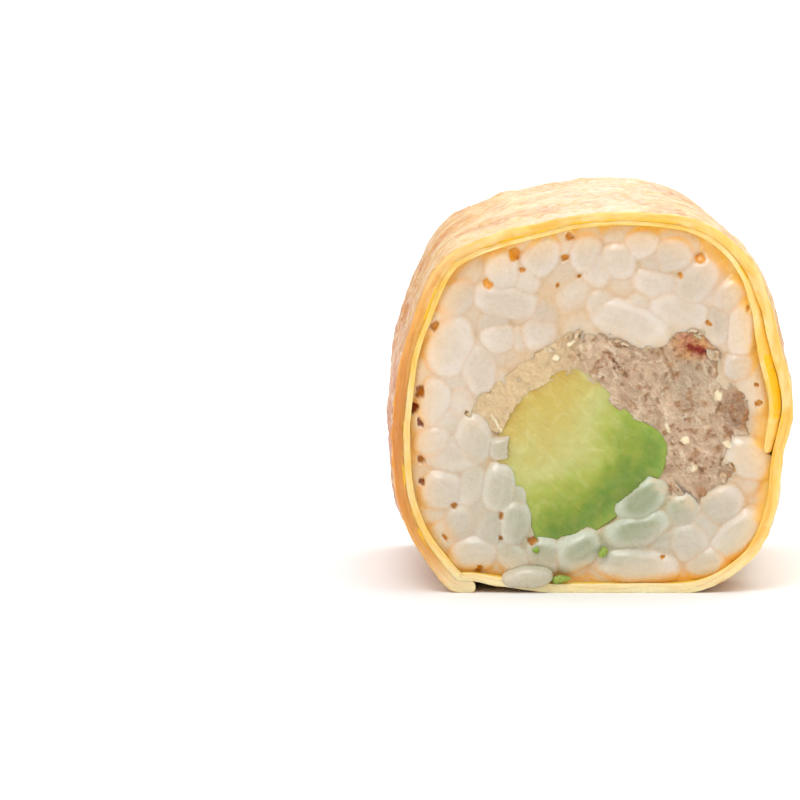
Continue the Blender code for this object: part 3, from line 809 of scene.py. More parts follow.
def egg_material():
    """Fried egg sheet: a mottled golden brown skin, pale yellow within, with fine layers at the cuts."""
    material, tree, shader = new_material("fried_egg", 0.42, 0.4, (1.0, 0.6, 0.2), 0.2)
    shader.inputs["Specular IOR Level"].default_value = 0.35
    skin, relief, fine = egg_skin(tree)
    inside = screen_colour(255, 212, 50)
    sliced, layers = egg_cut(tree)
    colour = mixed(tree, kept(tree, "skin"), mixed(tree, kept(tree, "cut"), inside, sliced), skin)
    apart = times(tree, kept(tree, "skin"), maths(tree, "SUBTRACT", relief, layers))
    relief = maths(tree, "ADD", layers, apart)
    tree.links.new(colour, shader.inputs["Base Color"])
    tree.links.new(between(tree, fine, 0.0, 1.0, 0.34, 0.56), shader.inputs["Roughness"])
    bump_from(tree, shader, relief, 0.16)
    return material


def rice_material():
    """Cooked rice: greyer in the grains, pale at their rims as a painted sheen, with painted shade in its
    seams, hollows and gaps and towards the bottom, and painted light glowing warm by the egg and green by the
    avocado.
    """
    material, tree, shader = new_material("cooked_rice", 0.28, 0.7, (0.6, 0.45, 0.32), 0.35)
    place = object_place(tree)
    cloud = patches(tree, place, size=2.2, detail=4.0, swirl=0.8, low=0.35, high=0.68)
    lines = patches(tree, kept(tree, "grain_place", "Vector"), size=0.5, stretch=6.0, detail=4.0, swirl=0.3,
                    low=0.35, high=0.7)
    lines = times(tree, lines, maths(tree, "SUBTRACT", 1.0, kept(tree, "seam")))
    fine = patches(tree, place, size=0.5, detail=4.0, swirl=0.4, low=0.3, high=0.7)
    # The colour of the painted rim sheen, greener by the avocado.
    pale = two_tones(tree, kept(tree, "by_avocado"), (246, 236, 226), (220, 228, 210))
    body = two_tones(tree, kept(tree, "tone"), (214, 200, 182), (199, 182, 161))
    body = tinted(tree, body, cloud, 0.3, 202, 180, 154)
    # Painted warm glow of light from the egg on the rice near it.
    body = tinted(tree, body, kept(tree, "by_egg"), 0.6, 238, 202, 150)
    height = add_node(tree, "ShaderNodeSeparateXYZ", {0: place}).outputs["Z"]
    # Painted shade: the rice is greyer and greener towards the bottom.
    body = mixed(tree, between(tree, height, 0.014, 0.004, 0.0, 0.3), body, screen_colour(176, 184, 168))
    # Painted green light and shade from the avocado on the rice near it.
    body = tinted(tree, body, kept(tree, "by_avocado"), 0.9, 142, 152, 114)
    body = mixed(tree, times(tree, lines, 0.1), body, pale)
    # Painted sheen: the grains' rims are painted pale, as a highlight.
    rim_sheen = times(tree, kept(tree, "rim_sheen"), between(tree, kept(tree, "by_avocado"), 0.0, 1.0, 0.31, 0.54))
    body = mixed(tree, rim_sheen, body, pale)
    # Painted shade in the hollows between grains.
    body = tinted(tree, body, kept(tree, "deep"), 0.8, 212, 182, 142)
    # Painted shade in the seams between grains, with a painted orange glow from the egg beside it.
    warm = maths(tree, "ADD", times(tree, kept(tree, "by_egg"), 0.32), 0.1)
    body = tinted(tree, body, kept(tree, "seam"), warm, 238, 174, 98)
    # Painted golden glow of light through the egg, on the grains next to it.
    between_grains = maths(tree, "MAXIMUM", kept(tree, "rim_sheen"), kept(tree, "seam"))
    egg_glow = times(tree, kept(tree, "at_egg"), between(tree, between_grains, 0.1, 0.9, 0.15, 0.85))
    golden = two_tones(tree, between(tree, height, 0.008, 0.002), (250, 200, 80), (244, 178, 44))
    body = mixed(tree, egg_glow, body, golden)
    crumbs = times(tree, kept(tree, "by_tuna"), between(tree, fine, 0.3, 0.7, 0.2, 0.7))
    body = mixed(tree, crumbs, body, screen_colour(216, 194, 162))
    # The gaps' colour: painted orange glow of light through the egg, and painted dark red-brown shade.
    gap_glow_and_shade = two_tones(tree, kept(tree, "red"), (242, 168, 34), (140, 54, 26))
    body = mixed(tree, kept(tree, "gap"), body, gap_glow_and_shade)
    tree.links.new(body, shader.inputs["Base Color"])
    tree.links.new(between(tree, fine, 0.0, 1.0, 0.22, 0.42), shader.inputs["Roughness"])
    bump_from(tree, shader, fine, 0.012)
    return material


def stone_distance(tree, place):
    """How far a place is from the middle of the avocado's stone, in millimetres."""
    shift = (-STONE_MIDDLE[0] * MM, 0.0, -STONE_MIDDLE[1] * MM)
    moved = add_node(tree, "ShaderNodeVectorMath", {0: place, 1: shift}, operation="ADD").outputs[0]
    flat = add_node(tree, "ShaderNodeVectorMath", {0: moved, 1: (1000.0, 0.0, 1000.0)}, operation="MULTIPLY")
    return add_node(tree, "ShaderNodeVectorMath", {0: flat.outputs[0]}, operation="LENGTH").outputs["Value"]


def avocado_material():
    """Avocado flesh: yellow by the stone and green under the skin, with fine strokes from the knife."""
    material, tree, shader = new_material("avocado_flesh", 0.36, 0.5, (1.2, 1.2, 0.5), 0.2)
    place = object_place(tree)
    wobble = patches(tree, place, size=5.0, detail=4.0, swirl=0.8, low=0.2, high=0.8)
    fine = patches(tree, place, size=0.8, detail=4.0, swirl=0.4, low=0.3, high=0.7)
    reach = maths(tree, "ADD", stone_distance(tree, place), between(tree, wobble, 0.0, 1.0, -1.1, 1.1))
    flesh = ramp(tree, maths(tree, "DIVIDE", maths(tree, "SUBTRACT", reach, 6.0), 15.0), FLESH_COLOURS)
    by_stone = between(tree, reach, 17.5, 14.0, 0.2, 1.0)
    amber = times(tree, kept(tree, "edge"), between(tree, reach, 13.0, 9.0))
    flesh = tinted(tree, flesh, amber, 0.7, 196, 150, 40)
    lime = times(tree, kept(tree, "edge"), between(tree, reach, 15.0, 17.0))
    flesh = tinted(tree, flesh, lime, 0.55, 146, 176, 62)
    turned = turned_place(tree, place, -40)
    strokes = patches(tree, turned, size=0.45, stretch=14.0, detail=3.0, swirl=0.1, low=0.45, high=0.75)
    flesh = tinted(tree, flesh, strokes, times(tree, by_stone, 0.16), 230, 228, 170)
    flesh = tinted(tree, flesh, fine, 0.22, 186, 164, 62)
    bruise = patches(tree, place, size=2.0, stretch=1.0, detail=5.0, swirl=1.4, low=0.45, high=0.7)
    flesh = tinted(tree, flesh, bruise, times(tree, by_stone, 0.24), 232, 226, 160)
    tree.links.new(flesh, shader.inputs["Base Color"])
    bump_from(tree, shader, maths(tree, "ADD", strokes, fine), 0.07)
    return material


def tuna_material():
    """Cooked tuna: fine fibres from pale pink to grey brown, darker in the chunks, and darker in the pits,
    folds, seams and by the rice as painted shade.
    """
    material, tree, shader = new_material("flaked_tuna", 0.45, 0.5, (0.7, 0.45, 0.3), 0.2)
    place, own = object_place(tree), kept(tree, "grain_place", "Vector")
    fibres = patches(tree, own, size=0.32, stretch=3.0, detail=5.0, swirl=0.8, low=0.36, high=0.64)
    flecks = patches(tree, place, size=0.6, stretch=1.4, detail=5.0, swirl=1.0, low=0.50, high=0.64)
    pale = patches(tree, own, size=0.5, stretch=3.5, detail=3.0, swirl=0.6, low=0.52, high=0.66)
    apart = maths(tree, "SUBTRACT", 1.0, kept(tree, "seam"))
    fibres, pale = times(tree, fibres, apart), times(tree, pale, apart)
    turned = turned_place(tree, place, FLAKE_TURN)
    threads = patches(tree, turned, size=0.6, stretch=1.8, detail=3.0, swirl=1.6, low=0.3, high=0.7)
    clots = patches(tree, turned, size=1.3, stretch=2.0, detail=4.0, swirl=1.4, low=0.42, high=0.66)
    cloud = patches(tree, place, size=3.0, detail=5.0, swirl=1.2, low=0.38, high=0.62)
    pink = patches(tree, place, size=1.8, detail=4.0, swirl=1.0, low=0.42, high=0.66)
    spots = mask_of(tree, "specks", place, size=1.0, share=0.3, spot=0.2)
    body = two_tones(tree, kept(tree, "tone"), (226, 199, 165), (196, 168, 136))
    body = tinted(tree, body, cloud, 0.4, 182, 150, 118)
    body = tinted(tree, body, pink, 0.35, 212, 172, 148)
    body = tinted(tree, body, clots, 0.5, 158, 120, 90)
    body = tinted(tree, body, fibres, 0.4, 162, 128, 94)
    body = tinted(tree, body, pale, 0.55, 232, 214, 186)
    body = tinted(tree, body, flecks, 0.4, 236, 214, 188)
    body = tinted(tree, body, kept(tree, "pale"), 0.7, 226, 198, 148)
    body = tinted(tree, body, kept(tree, "grey"), 0.5, 164, 148, 122)
    chunk = two_tones(tree, pink, (214, 154, 84), (190, 120, 84))
    chunk = mixed(tree, fibres, chunk, screen_colour(160, 96, 50))
    body = mixed(tree, times(tree, kept(tree, "brown"), 0.9), body, chunk)
    body = tinted(tree, body, kept(tree, "rolled"), 0.75, 134, 92, 52)
    body = tinted(tree, body, spots, 0.6, 156, 102, 50)
    # Painted shade in the seams between flakes.
    body = tinted(tree, body, kept(tree, "seam"), 0.12, 164, 116, 72)
    # Painted shade in the pits, folds and along the rice.
    body = mixed(tree, kept(tree, "gap"), body, screen_colour(174, 112, 48))
    body = mixed(tree, kept(tree, "red"), body, screen_colour(170, 40, 24))
    body = mixed(tree, kept(tree, "white"), body, screen_colour(246, 228, 190))
    tree.links.new(body, shader.inputs["Base Color"])
    tree.links.new(between(tree, fibres, 0.0, 1.0, 0.36, 0.58), shader.inputs["Roughness"])
    bump_from(tree, shader, maths(tree, "ADD", threads, times(tree, flecks, 0.4)), 0.11)
    return material


def floor_material():
    material, tree, shader = new_material("pale_floor", 0.8, 0.0, (1, 1, 1))
    cloud = patches(tree, object_place(tree), size=400.0, detail=1.0, low=0.2, high=0.8)
    pale = mixed(tree, cloud, (0.93, 0.93, 0.93, 1), (0.95, 0.95, 0.95, 1))
    tree.links.new(pale, shader.inputs["Base Color"])
    return material


# --- Pieces ---

def sheet_stations():
    """The turns at which the sheet's loops stand: closer together on the turn that shows and at both ends."""
    ends = np.array([0.0, 0.06, 0.16, 0.3, 0.5]) * ROUND_END / MM_EACH_DEGREE * 2
    outer = np.arange(FLAP_TURN + ends[-1] + OUTER_TURN_STEP, 400.0, OUTER_TURN_STEP)
    inner = np.arange(400.0, INNER_END_TURN - ends[-1] - 1.0, INNER_TURN_STEP)
    return np.concatenate([FLAP_TURN + ends, outer, inner, INNER_END_TURN - ends[::-1]])


def sheet_rounding(turn):
    """The share of its thickness that the sheet keeps towards its rounded ends."""
    from_end = np.minimum(turn - FLAP_TURN, INNER_END_TURN - turn) * MM_EACH_DEGREE
    share = np.clip(1 - from_end / ROUND_END, 0, 0.97)
    return np.sqrt(1 - share**2)


def axial_crease(sheet_place, run, seed):
    """A crease along the slice at a run round the sheet, wandering and fading: 1 on its line."""
    line = sheet_place * (0, 1, 0)
    wander = 2.4 * uneven(line, 9.0, seed=seed, octaves=4)
    fade = smooth_step(uneven(line, 7.0, seed=seed + 5, octaves=1), -0.45, 0.0)
    return fade * np.exp(-(((sheet_place[:, 0] - run - wander) / 0.45) ** 2))


def sheet_faces(turn):
    """The sheet's outer and inner face in the cut, where its turns touch."""
    spot, inward = rim_point(FLAP_ANGLE - turn), rim_inward(FLAP_ANGLE - turn)
    thickness, keep = sheet_thickness(turn), sheet_rounding(turn)
    middle = sheet_depth(turn) + thickness / 2
    return [spot + (middle + side * thickness * keep / 2)[:, None] * inward for side in (-1, 1)]


def skin_lift(points, sheet_place, skin, lines):
    """How far each point of the sheet stands out: waves all through, and wrinkles, blisters and creases."""
    lift = UNDULATION * uneven(points, 8.0, seed=1)
    lift += WRINKLE * skin * creases(sheet_place * (0.6, 1, 1), 4.5, seed=4)
    lift += BLISTER * skin * uneven(sheet_place, 1.3, seed=6, octaves=2)
    return lift + CREASE_RISE * skin * lines


def turns_parted(turn, place, from_cut):
    """How far the sheet's turns stand apart, at the cuts and by its loose inner end."""
    gap = (SHEET_GAP + GAP_UNEVENNESS * uneven(place, 2.2, seed=3, octaves=2)).clip(0) * sheet_inside(turn)
    loose = loose_gap(turn)[:, None] * np.exp(-from_cut / LOOSE_REACH)
    return gap[:, None] * np.exp(-from_cut / GAP_REACH) + loose


def keep_egg_looks(mesh, turn, loop_across, loop_along, skin, lines):
    """Stores what the egg's material needs to know at each point of the sheet."""
    angle, inner = FLAP_ANGLE - turn, sheet_inside(turn)[:, None]
    from_cut = ROLL_LENGTH / 2 * (1 - np.abs(loop_along))
    by_loose = np.exp(-(((turn - LOOSE_TURN) / 60) ** 2))[:, None] * inner
    skin = skin * (1 - by_loose * smooth_step(from_cut, 3.0, 1.0))
    doubled = smooth_step(INNER_END_TURN - 360 - turn, -5, 5)[:, None] * (1 - inner) + inner
    # The left side is browned and carries painted shade.
    brown_and_shade = np.exp(-(((angle - SHADED_BROWN_ANGLE) / SHADED_BROWN_SPREAD) ** 2))[:, None]
    # The top of the outer turn gets a painted highlight, pale as glare.
    top = np.exp(-(((angle - GLARE_ANGLE) / GLARE_SPREAD) ** 2)) * (turn < 380)
    looks = {"skin": skin, "share": loop_across, "inner": inner, "doubled": doubled, "brown_and_shade": brown_and_shade,
             "cut": smooth_step(np.abs(loop_along), 0.97, 0.99), "painted_glare": PAINTED_GLARE_SHARE * top[:, None]}
    for label, values in looks.items():
        keep_values(mesh, label, spread(values, skin))
    keep_values(mesh, "crease", lines * (skin.ravel() > 0.5))


def build_egg(material):
    """The egg sheet, rolled up nearly twice, with blisters and creases on its skin."""
    turn = sheet_stations()
    angle = FLAP_ANGLE - turn
    place, inward = in_space(rim_point(angle)), rim_inward(angle)
    across = clustered(SHEET_ACROSS_SPANS, 1.0)
    along = 2 * clustered(SHEET_LENGTH_SPANS, 0.25) - 1
    points, inset = slab(*sheet_faces(turn), ROLL_LENGTH, across, along, SHEET_CORNER)
    loop_across, loop_along = slab_loop(across, along)
    path = np.broadcast_to((turn * MM_EACH_DEGREE)[:, None], inset.shape)
    sheet_place = np.stack([path, points[..., 1], inset], axis=-1).reshape(-1, 3)
    skin = spread(smooth_step(loop_across, 0.35, 0.05) * (np.abs(loop_along) < 1), inset)
    lines = np.max([axial_crease(sheet_place, run, seed) for run, seed in CREASES], axis=0)
    bulge = SWELL * (0.5 + 0.5 * np.sin(2 * np.radians(angle) + 1.1))
    swell = bulge[:, None] * np.cos(loop_along * math.pi / 2)
    from_cut = ROLL_LENGTH / 2 * (1 - np.abs(loop_along))
    lift = skin_lift(points.reshape(-1, 3), sheet_place, skin, lines).reshape(inset.shape) + swell
    lift = (lift - turns_parted(turn, place, from_cut))[..., None] * inward[:, None]
    points[..., 0] -= lift[..., 0]
    points[..., 2] = np.maximum(points[..., 2] - lift[..., 1], 0.0)
    torn = TORN * uneven(points.reshape(-1, 3) * (1, 0, 1), 0.7, seed=9).reshape(inset.shape)
    points[..., 1] += (KNIFE_DRAG * uneven(place, 5.0, seed=8)[:, None] + torn) * loop_along
    mesh = as_mesh("egg_wrap", points.reshape(-1, 3), slab_faces(len(turn), len(across), len(along)))
    keep_values(mesh, "sheet_place", sheet_place * MM)
    keep_values(mesh, "layer_place", sheet_place[:, [0, 2, 1]] * (1, 1, 0.2) * MM)
    keep_egg_looks(mesh, turn, loop_across, loop_along, skin.reshape(inset.shape), lines)
    return new_object("egg_wrap", mesh, material)


def grain_shape(name, segments, rings):
    """One rice grain, 1 long and 1 wide: blunt, a little bent, with a notch where its germ was."""
    work = bmesh.new()
    bmesh.ops.create_uvsphere(work, u_segments=segments, v_segments=rings, radius=0.5)
    for vertex in work.verts:
        side, flat, along = vertex.co
        wide = math.hypot(side, flat) * 2 + 1e-6
        blunt = wide ** -0.28
        notch = 0.16 * math.exp(-(((along - 0.42) / 0.12) ** 2)) * max(side, 0) * 2
        bend = 0.05 * (1 - 4 * along * along)
        vertex.co = (along * (2 * abs(along) + 1e-6) ** -0.12, side * blunt - notch, flat * blunt + bend)
    mesh = bpy.data.meshes.new(name)
    bmesh.ops.recalc_face_normals(work, faces=work.faces)
    work.to_mesh(mesh)
    work.free()
    return new_object(name, mesh)


def scatter_tree():
    """Places a shape at every point of a mesh, turned and sized as the point says, all as one mesh."""
    tree = bpy.data.node_groups.new("scatter", "GeometryNodeTree")
    kinds = {"Geometry": "Geometry", "Shape": "Object", "Material": "Material", "Size": "Float"}
    for label, kind in kinds.items():
        tree.interface.new_socket(label, in_out="INPUT", socket_type=f"NodeSocket{kind}")
    tree.interface.new_socket("Geometry", in_out="OUTPUT", socket_type="NodeSocketGeometry")
    given, result = tree.nodes.new("NodeGroupInput"), tree.nodes.new("NodeGroupOutput")
    spots = add_node(tree, "GeometryNodeMeshToPoints", {"Mesh": given.outputs["Geometry"]})
    shape = add_node(tree, "GeometryNodeObjectInfo", {"Object": given.outputs["Shape"]})
    turn = add_node(tree, "GeometryNodeInputNamedAttribute", {"Name": "turn"}, data_type="FLOAT_VECTOR")
    size = add_node(tree, "GeometryNodeInputNamedAttribute", {"Name": "size"}, data_type="FLOAT_VECTOR")
    turned = add_node(tree, "FunctionNodeEulerToRotation", {0: turn.outputs[0]})
    sized = add_node(tree, "ShaderNodeVectorMath", {0: size.outputs[0], "Scale": given.outputs["Size"]},
                     operation="SCALE")
    placed = add_node(tree, "GeometryNodeInstanceOnPoints", {
        "Points": spots.outputs[0], "Instance": shape.outputs["Geometry"],
        "Rotation": turned.outputs[0], "Scale": sized.outputs[0]})
    whole = add_node(tree, "GeometryNodeRealizeInstances", {0: placed.outputs[0]})
    smooth = add_node(tree, "GeometryNodeSetShadeSmooth", {0: whole.outputs[0]})
    painted = add_node(tree, "GeometryNodeSetMaterial", {
        0: smooth.outputs[0], "Material": given.outputs["Material"]})
    tree.links.new(painted.outputs[0], result.inputs["Geometry"])
    return tree


def scattered(name, shape, material, points, turns, sizes, **values):
    """A piece made of one shape at every point, in plain mesh. The values go with each shape's points.

    The shape itself is removed.
    """
    spots = bpy.data.meshes.new(name)
    spots.from_pydata((points * MM).tolist(), [], [])
    keep_values(spots, "turn", turns)
    keep_values(spots, "size", sizes)
    for label, numbers in values.items():
        keep_values(spots, label, numbers)
    obj = new_object(name, spots)
    modifier = obj.modifiers.new("scatter", "NODES")
    modifier.node_group = SCATTER
    sockets = {item.name: item.identifier for item in SCATTER.interface.items_tree if item.in_out == "INPUT"}
    modifier[sockets["Shape"]] = shape
    modifier[sockets["Material"]] = material
    modifier[sockets["Size"]] = MM
    bpy.context.view_layer.update()
    mesh = bpy.data.meshes.new_from_object(obj.evaluated_get(bpy.context.evaluated_depsgraph_get()))
    obj.modifiers.clear()
    obj.data = mesh
    mesh.name = name
    bpy.data.objects.remove(shape)
    return obj


def pack_grains(placed, count, wall, fillings, seed):
    """Rows of (across, up, length, width, turn, set in): those listed, then others pushed apart."""
    draw = np.random.default_rng(seed)
    low, high = wall.min(axis=0), wall.max(axis=0)
    spots = draw.uniform(low, high, (count * 12, 2))
    spots = spots[room_and_way(spots, wall, fillings)[0] > 0.5][: count - len(placed)]
    seen = GRAIN_WIDTH + (GRAIN_LENGTH - GRAIN_WIDTH) * draw.uniform(0, 1, len(spots)) ** 2
    wide = GRAIN_WIDTH * draw.uniform(0.9, 1.1, len(spots))
    turn, relief = draw.uniform(0, 180, len(spots)), draw.uniform(0.0, 0.6, len(spots))
    rows = np.concatenate([np.reshape(placed, (-1, 6)), np.column_stack([spots, seen, wide, turn, relief])])
    free = np.arange(len(rows)) >= len(placed)
    reach, owner = (rows[:, 2] - rows[:, 3]).clip(0) / 2, np.repeat(np.arange(len(rows)), len(BEADS))
    apart_enough = BEAD_OVERLAP * GRAIN_WIDTH
    for _ in range(PACKING_STEPS):
        way = np.stack([np.cos(np.radians(rows[:, 4])), np.sin(np.radians(rows[:, 4]))], axis=1)
        arm = np.multiply.outer(reach, BEADS)[..., None] * way[:, None]
        beads = (rows[:, None, :2] + arm).reshape(-1, 2)
        between_beads = beads[:, None] - beads
        apart = np.linalg.norm(between_beads, axis=2) + 1e-6
        pushed = np.clip(apart_enough - apart, 0, None) * (owner[:, None] != owner)
        push = (pushed / apart)[..., None] * between_beads * 0.25
        room, inward = room_and_way(beads, wall, fillings)
        push = push.sum(1) + np.clip(WALL_SHARE * GRAIN_WIDTH - room, 0, None)[:, None] * inward * 0.5
        push = push.reshape(len(rows), len(BEADS), 2)
        twist = (arm[..., 0] * push[..., 1] - arm[..., 1] * push[..., 0]).sum(1) / (0.5 + 2 * reach**2)
        rows[free, :2] += push.mean(1)[free]
        rows[free, 4] += np.degrees(twist[free])
    return rows


def stance(way, roll):
    """The turn that points a shape's length along a way, rolled about it."""
    return (Vector(way).to_track_quat("X", "Z") @ Quaternion((1, 0, 0), roll)).to_euler()[:]


def keep_nearness(mesh, points, wall, avocado_cut, tuna_cut, egg_glow=1.0):
    """Stores how near each point is to the egg, the avocado and the tuna, from 0 to 1; egg_glow scales the
    painted glow of light from the egg.
    """
    flat = points[:, [0, 2]]
    from_egg = room_inside(flat, wall)[0]
    by_egg = egg_glow * smooth_step(from_egg, 3.0, 0.0)
    by_avocado = smooth_step(-room_inside(flat, avocado_cut)[0], 5.5, 0.5)
    by_avocado *= smooth_step(flat[:, 1], 17.0, 12.5)
    by_avocado *= np.interp(flat[:, 0], *GREEN_RISE)
    keep_values(mesh, "by_egg", by_egg)
    # The golden glow from the egg is painted stronger towards the upper right, where the light falls.
    to_upper_right = smooth_step(flat[:, 0] + 0.5 * (flat[:, 1] - AXIS_HEIGHT), -10, 6)
    golden = (from_egg > -0.5) * (0.3 + 0.6 * to_upper_right)
    keep_values(mesh, "at_egg", egg_glow * golden * smooth_step(from_egg, 1.2, 0.1))
    keep_values(mesh, "by_avocado", by_avocado * (1 - by_egg))
    keep_values(mesh, "by_tuna", smooth_step(-room_inside(flat, tuna_cut)[0], 0.9, 0.0))


def grain_lumps(placed, wall, fillings, seed):
    """The grains that show at one cut, with others under them."""
    draw = np.random.default_rng(seed)
    count = max(GRAINS_AT_CUT, len(placed))
    at_cut = pack_grains(placed, count, wall, fillings, seed)
    under = pack_grains((), GRAINS_UNDER, wall, fillings, seed + 1)
    rows = np.concatenate([at_cut, under])
    level = np.repeat([RICE_TOP, UNDER_TOP], [len(at_cut), len(under)])
    return Lumps(rows[:, :2], rows[:, 2:4] * 0.57, np.radians(rows[:, 4]), level - 0.55 * rows[:, 5],
                 draw.normal(0, 0.07, (len(rows), 2)), draw.uniform(0, 1, len(rows)) ** 1.3)


def random_gaps(wall, fillings, seed):
    """Gaps between grains, strewn over a cut."""
    draw = np.random.default_rng(seed)
    spots = draw.uniform(wall.min(axis=0), wall.max(axis=0), (80, 2))
    spots = spots[room_and_way(spots, wall, fillings)[0] > 0.6][:GAPS_AT_BACK]
    return np.column_stack([spots, draw.uniform(0.25, 0.6, len(spots)), draw.uniform(0.0, 0.6, len(spots))])


def rice_look(spots, placed, gaps, wall, fillings, seed):
    """The height of the rice at each place of one cut, and what its material needs to know there."""
    lumps = grain_lumps(placed, wall, fillings, seed)
    moved = warped(spots, 2.4, GRAIN_SWELL, seed)
    look = pressed(moved, lumps, RICE_BED, GRAIN_DROP, GRAIN_FLAT)
    height, opened, red = look.height, np.zeros(len(spots)), np.zeros(len(spots))
    under = np.maximum(smooth_step(look.out, 0.6, 0.9), smooth_step(height, -0.3, -0.55))
    frayed = warped(spots, 0.8, 0.22, seed + 9)
    for across, up, size, redness in gaps:
        near = blob(frayed, (across, up), size) * under
        red = np.where(near > opened, redness, red)
        opened = np.maximum(opened, near)
    gap = smooth_step(opened, 0.3, 0.5)
    along, aside = own_place(moved, lumps, look.owner)
    # rim_sheen, seam, deep and gap feed the painted sheen, shade and glow of the rice's material.
    return height - GAP_DEPTH * gap, {
        "tone": lumps.tones[look.owner], "rim_sheen": smooth_step(look.out, 0.4, 0.85) * (1 - 0.5 * look.seam),
        "seam": look.seam * (1 - gap), "deep": smooth_step(height, -0.6, -1.05) * (1 - gap),
        "gap": gap, "red": red,
        "grain_place": np.column_stack([along, aside, look.owner * 5.0]) * MM}


def relief_piece(name, near, far, spans, closed, look_at, material):
    """A piece from cut to cut, in relief at its cuts. look_at gives a cut's heights and values to keep."""
    points, faces, cut = through(near, far, spans, closed)
    kept_looks = {}
    for facing in (-1, 1):
        chosen = cut == facing
        height, looks = look_at(points[chosen][:, [0, 2]], facing)
        points[chosen, 1] = facing * (ROLL_LENGTH / 2 + height)
        for label, values in looks.items():
            kept_looks.setdefault(label, np.zeros((len(points), *values.shape[1:])))[chosen] = values
    mesh = as_mesh(name, points, faces)
    for label, values in kept_looks.items():
        keep_values(mesh, label, values)
    return new_object(name, mesh, material), points


def build_rice(material, wall, fillings, avocado_cut):
    """The pressed rice, from cut to cut, each grain at the cuts in relief."""
    far = hollow_outline(fillings, 540)
    inward = HOLLOW_MIDDLE - far
    far = far + RICE_OVERLAP * inward / np.linalg.norm(inward, axis=1, keepdims=True)

    def look_at(spots, facing):
        if facing < 0:
            return rice_look(spots, CLEAR_GRAINS, GAPS, wall, fillings, RICE_SEEDS[0])
        gaps = random_gaps(wall, fillings, FAR_GAPS_SEED)
        return rice_look(spots, (), gaps, wall, fillings, RICE_SEEDS[1])

    rice, points = relief_piece("rice_grains", rice_wall(540, -0.25), far, 82, True, look_at, material)
    keep_nearness(rice.data, points, wall, avocado_cut, fillings[1])
    return rice


def build_loose_grains(material, wall, fillings, avocado_cut):
    """Whole grains that lie loose on the shown cut."""
    shape = grain_shape("grain", 24, 18)
    across, out, up, length, width, turn, tilt = np.array(LOOSE_GRAINS).T
    flat, way = np.radians(tilt), np.radians(turn)
    ways = np.stack([np.cos(flat) * np.cos(way), np.sin(flat), np.cos(flat) * np.sin(way)], axis=1)
    turns = np.array([stance(way, roll) for way, roll in zip(ways, range(len(ways)))])
    grains = scattered("loose_grains", shape, material, np.stack([across, -out, up], axis=1), turns,
                       np.stack([length, width, width * 0.9], axis=1), tone=np.linspace(0, 0.3, len(up)))
    mesh = grains.data
    points = roughened(mesh, 0.18, 2.4, seed=31)
    for label in ("seam", "deep", "gap", "red"):
        keep_values(mesh, label, np.zeros(len(points)))
    # The loose grains get the same painted rim sheen all over.
    keep_values(mesh, "rim_sheen", np.full(len(points), 0.3))
    keep_values(mesh, "grain_place", points * MM)
    keep_nearness(mesh, points, wall, avocado_cut, fillings[1], egg_glow=0.2)
    return grains


def build_avocado(outline, material):
    """The avocado stick, its cuts a little domed and marked by the knife."""
    bottom = AVOCADO_BOTTOM * len(outline) // len(AVOCADO_CORNERS)
    right, left = outline[: bottom + 1], np.concatenate([outline[:1], outline[:bottom - 1:-1]])
    near, far = (evenly(side, 102)[1:-1] for side in (right, left))
    across, along = clustered(64, 0.4), 2 * clustered(14, 0.4) - 1
    points, inset = slab(near, far, ROLL_LENGTH - 2 * AVOCADO_RECESS, across, along, 0.4)
    loop_along = slab_loop(across, along)[1]
    flat = points.reshape(-1, 3)
    cut = spread(loop_along * (np.abs(loop_along) == 1), inset)
    side = spread(np.abs(loop_along) < 1, inset)
    outward = flat[:, [0, 2]] - outline.mean(axis=0)
    outward /= np.linalg.norm(outward, axis=1, keepdims=True)
    rough = 0.18 * uneven(flat, 3.0, seed=51)
    flat[:, 0] += rough * outward[:, 0] * side
    flat[:, 2] += rough * outward[:, 1] * side
    turned = flat @ np.array([[0.77, 0, 0.64], [0, 1, 0], [-0.64, 0, 0.77]])
    relief = 0.25 * uneven(flat, 5.0, seed=52) + 0.06 * uneven(turned * (0.12, 0.3, 1.0), 0.8, seed=53)
    flat[:, 1] += cut * relief
    mesh = as_mesh("avocado_stick", flat, slab_faces(len(near), len(across), len(along)))
    keep_values(mesh, "edge", smooth_step(room_inside(flat[:, [0, 2]], outline[::2])[0], 1.6, 0.0))
    return new_object("avocado_stick", mesh, material)


def build_scraps(material):
    """Scraps of avocado that the knife left on the rice at the shown cut."""
    shape = grain_shape("scrap", 14, 10)
    across, up, length, width, turn = np.array(SCRAPS).T
    turns = np.array([stance((math.cos(way), 0.2, math.sin(way)), way) for way in np.radians(turn)])
    out = np.full(len(up), ROLL_LENGTH / 2 - 0.2)
    scraps = scattered("avocado_scraps", shape, material, np.stack([across, -out, up], axis=1), turns,
                       np.stack([length, width, width], axis=1))
    points = roughened(scraps.data, 0.25, 0.9, seed=34)
    keep_values(scraps.data, "edge", np.ones(len(points)))
    return scraps


def spots_between(outer, inner, count, draw):
    """Random places between two sides."""
    near, far = evenly(outer, 200), evenly(inner, 200)
    station, share = draw.integers(0, 200, count), draw.uniform(0.0, 1.0, count)
    return near[station] + share[:, None] * (far[station] - near[station])


def flake_lumps(outer, inner, seed):
    """Flakes of tuna at one cut, most of them along its grain."""
    draw = np.random.default_rng(seed)
    count = FLAKES_AT_CUT
    turns = np.radians(FLAKE_TURN + draw.normal(0, 30, count))
    middles = spots_between(outer, inner, count, draw)
    halves = draw.uniform((0.9, 0.5), (2.5, 1.1), (count, 2))
    tops = TUNA_TOP + draw.uniform(-0.16, 0.0, count)
    return Lumps(middles, halves, turns, tops, draw.normal(0, 0.05, (count, 2)), draw.uniform(0, 1, count))


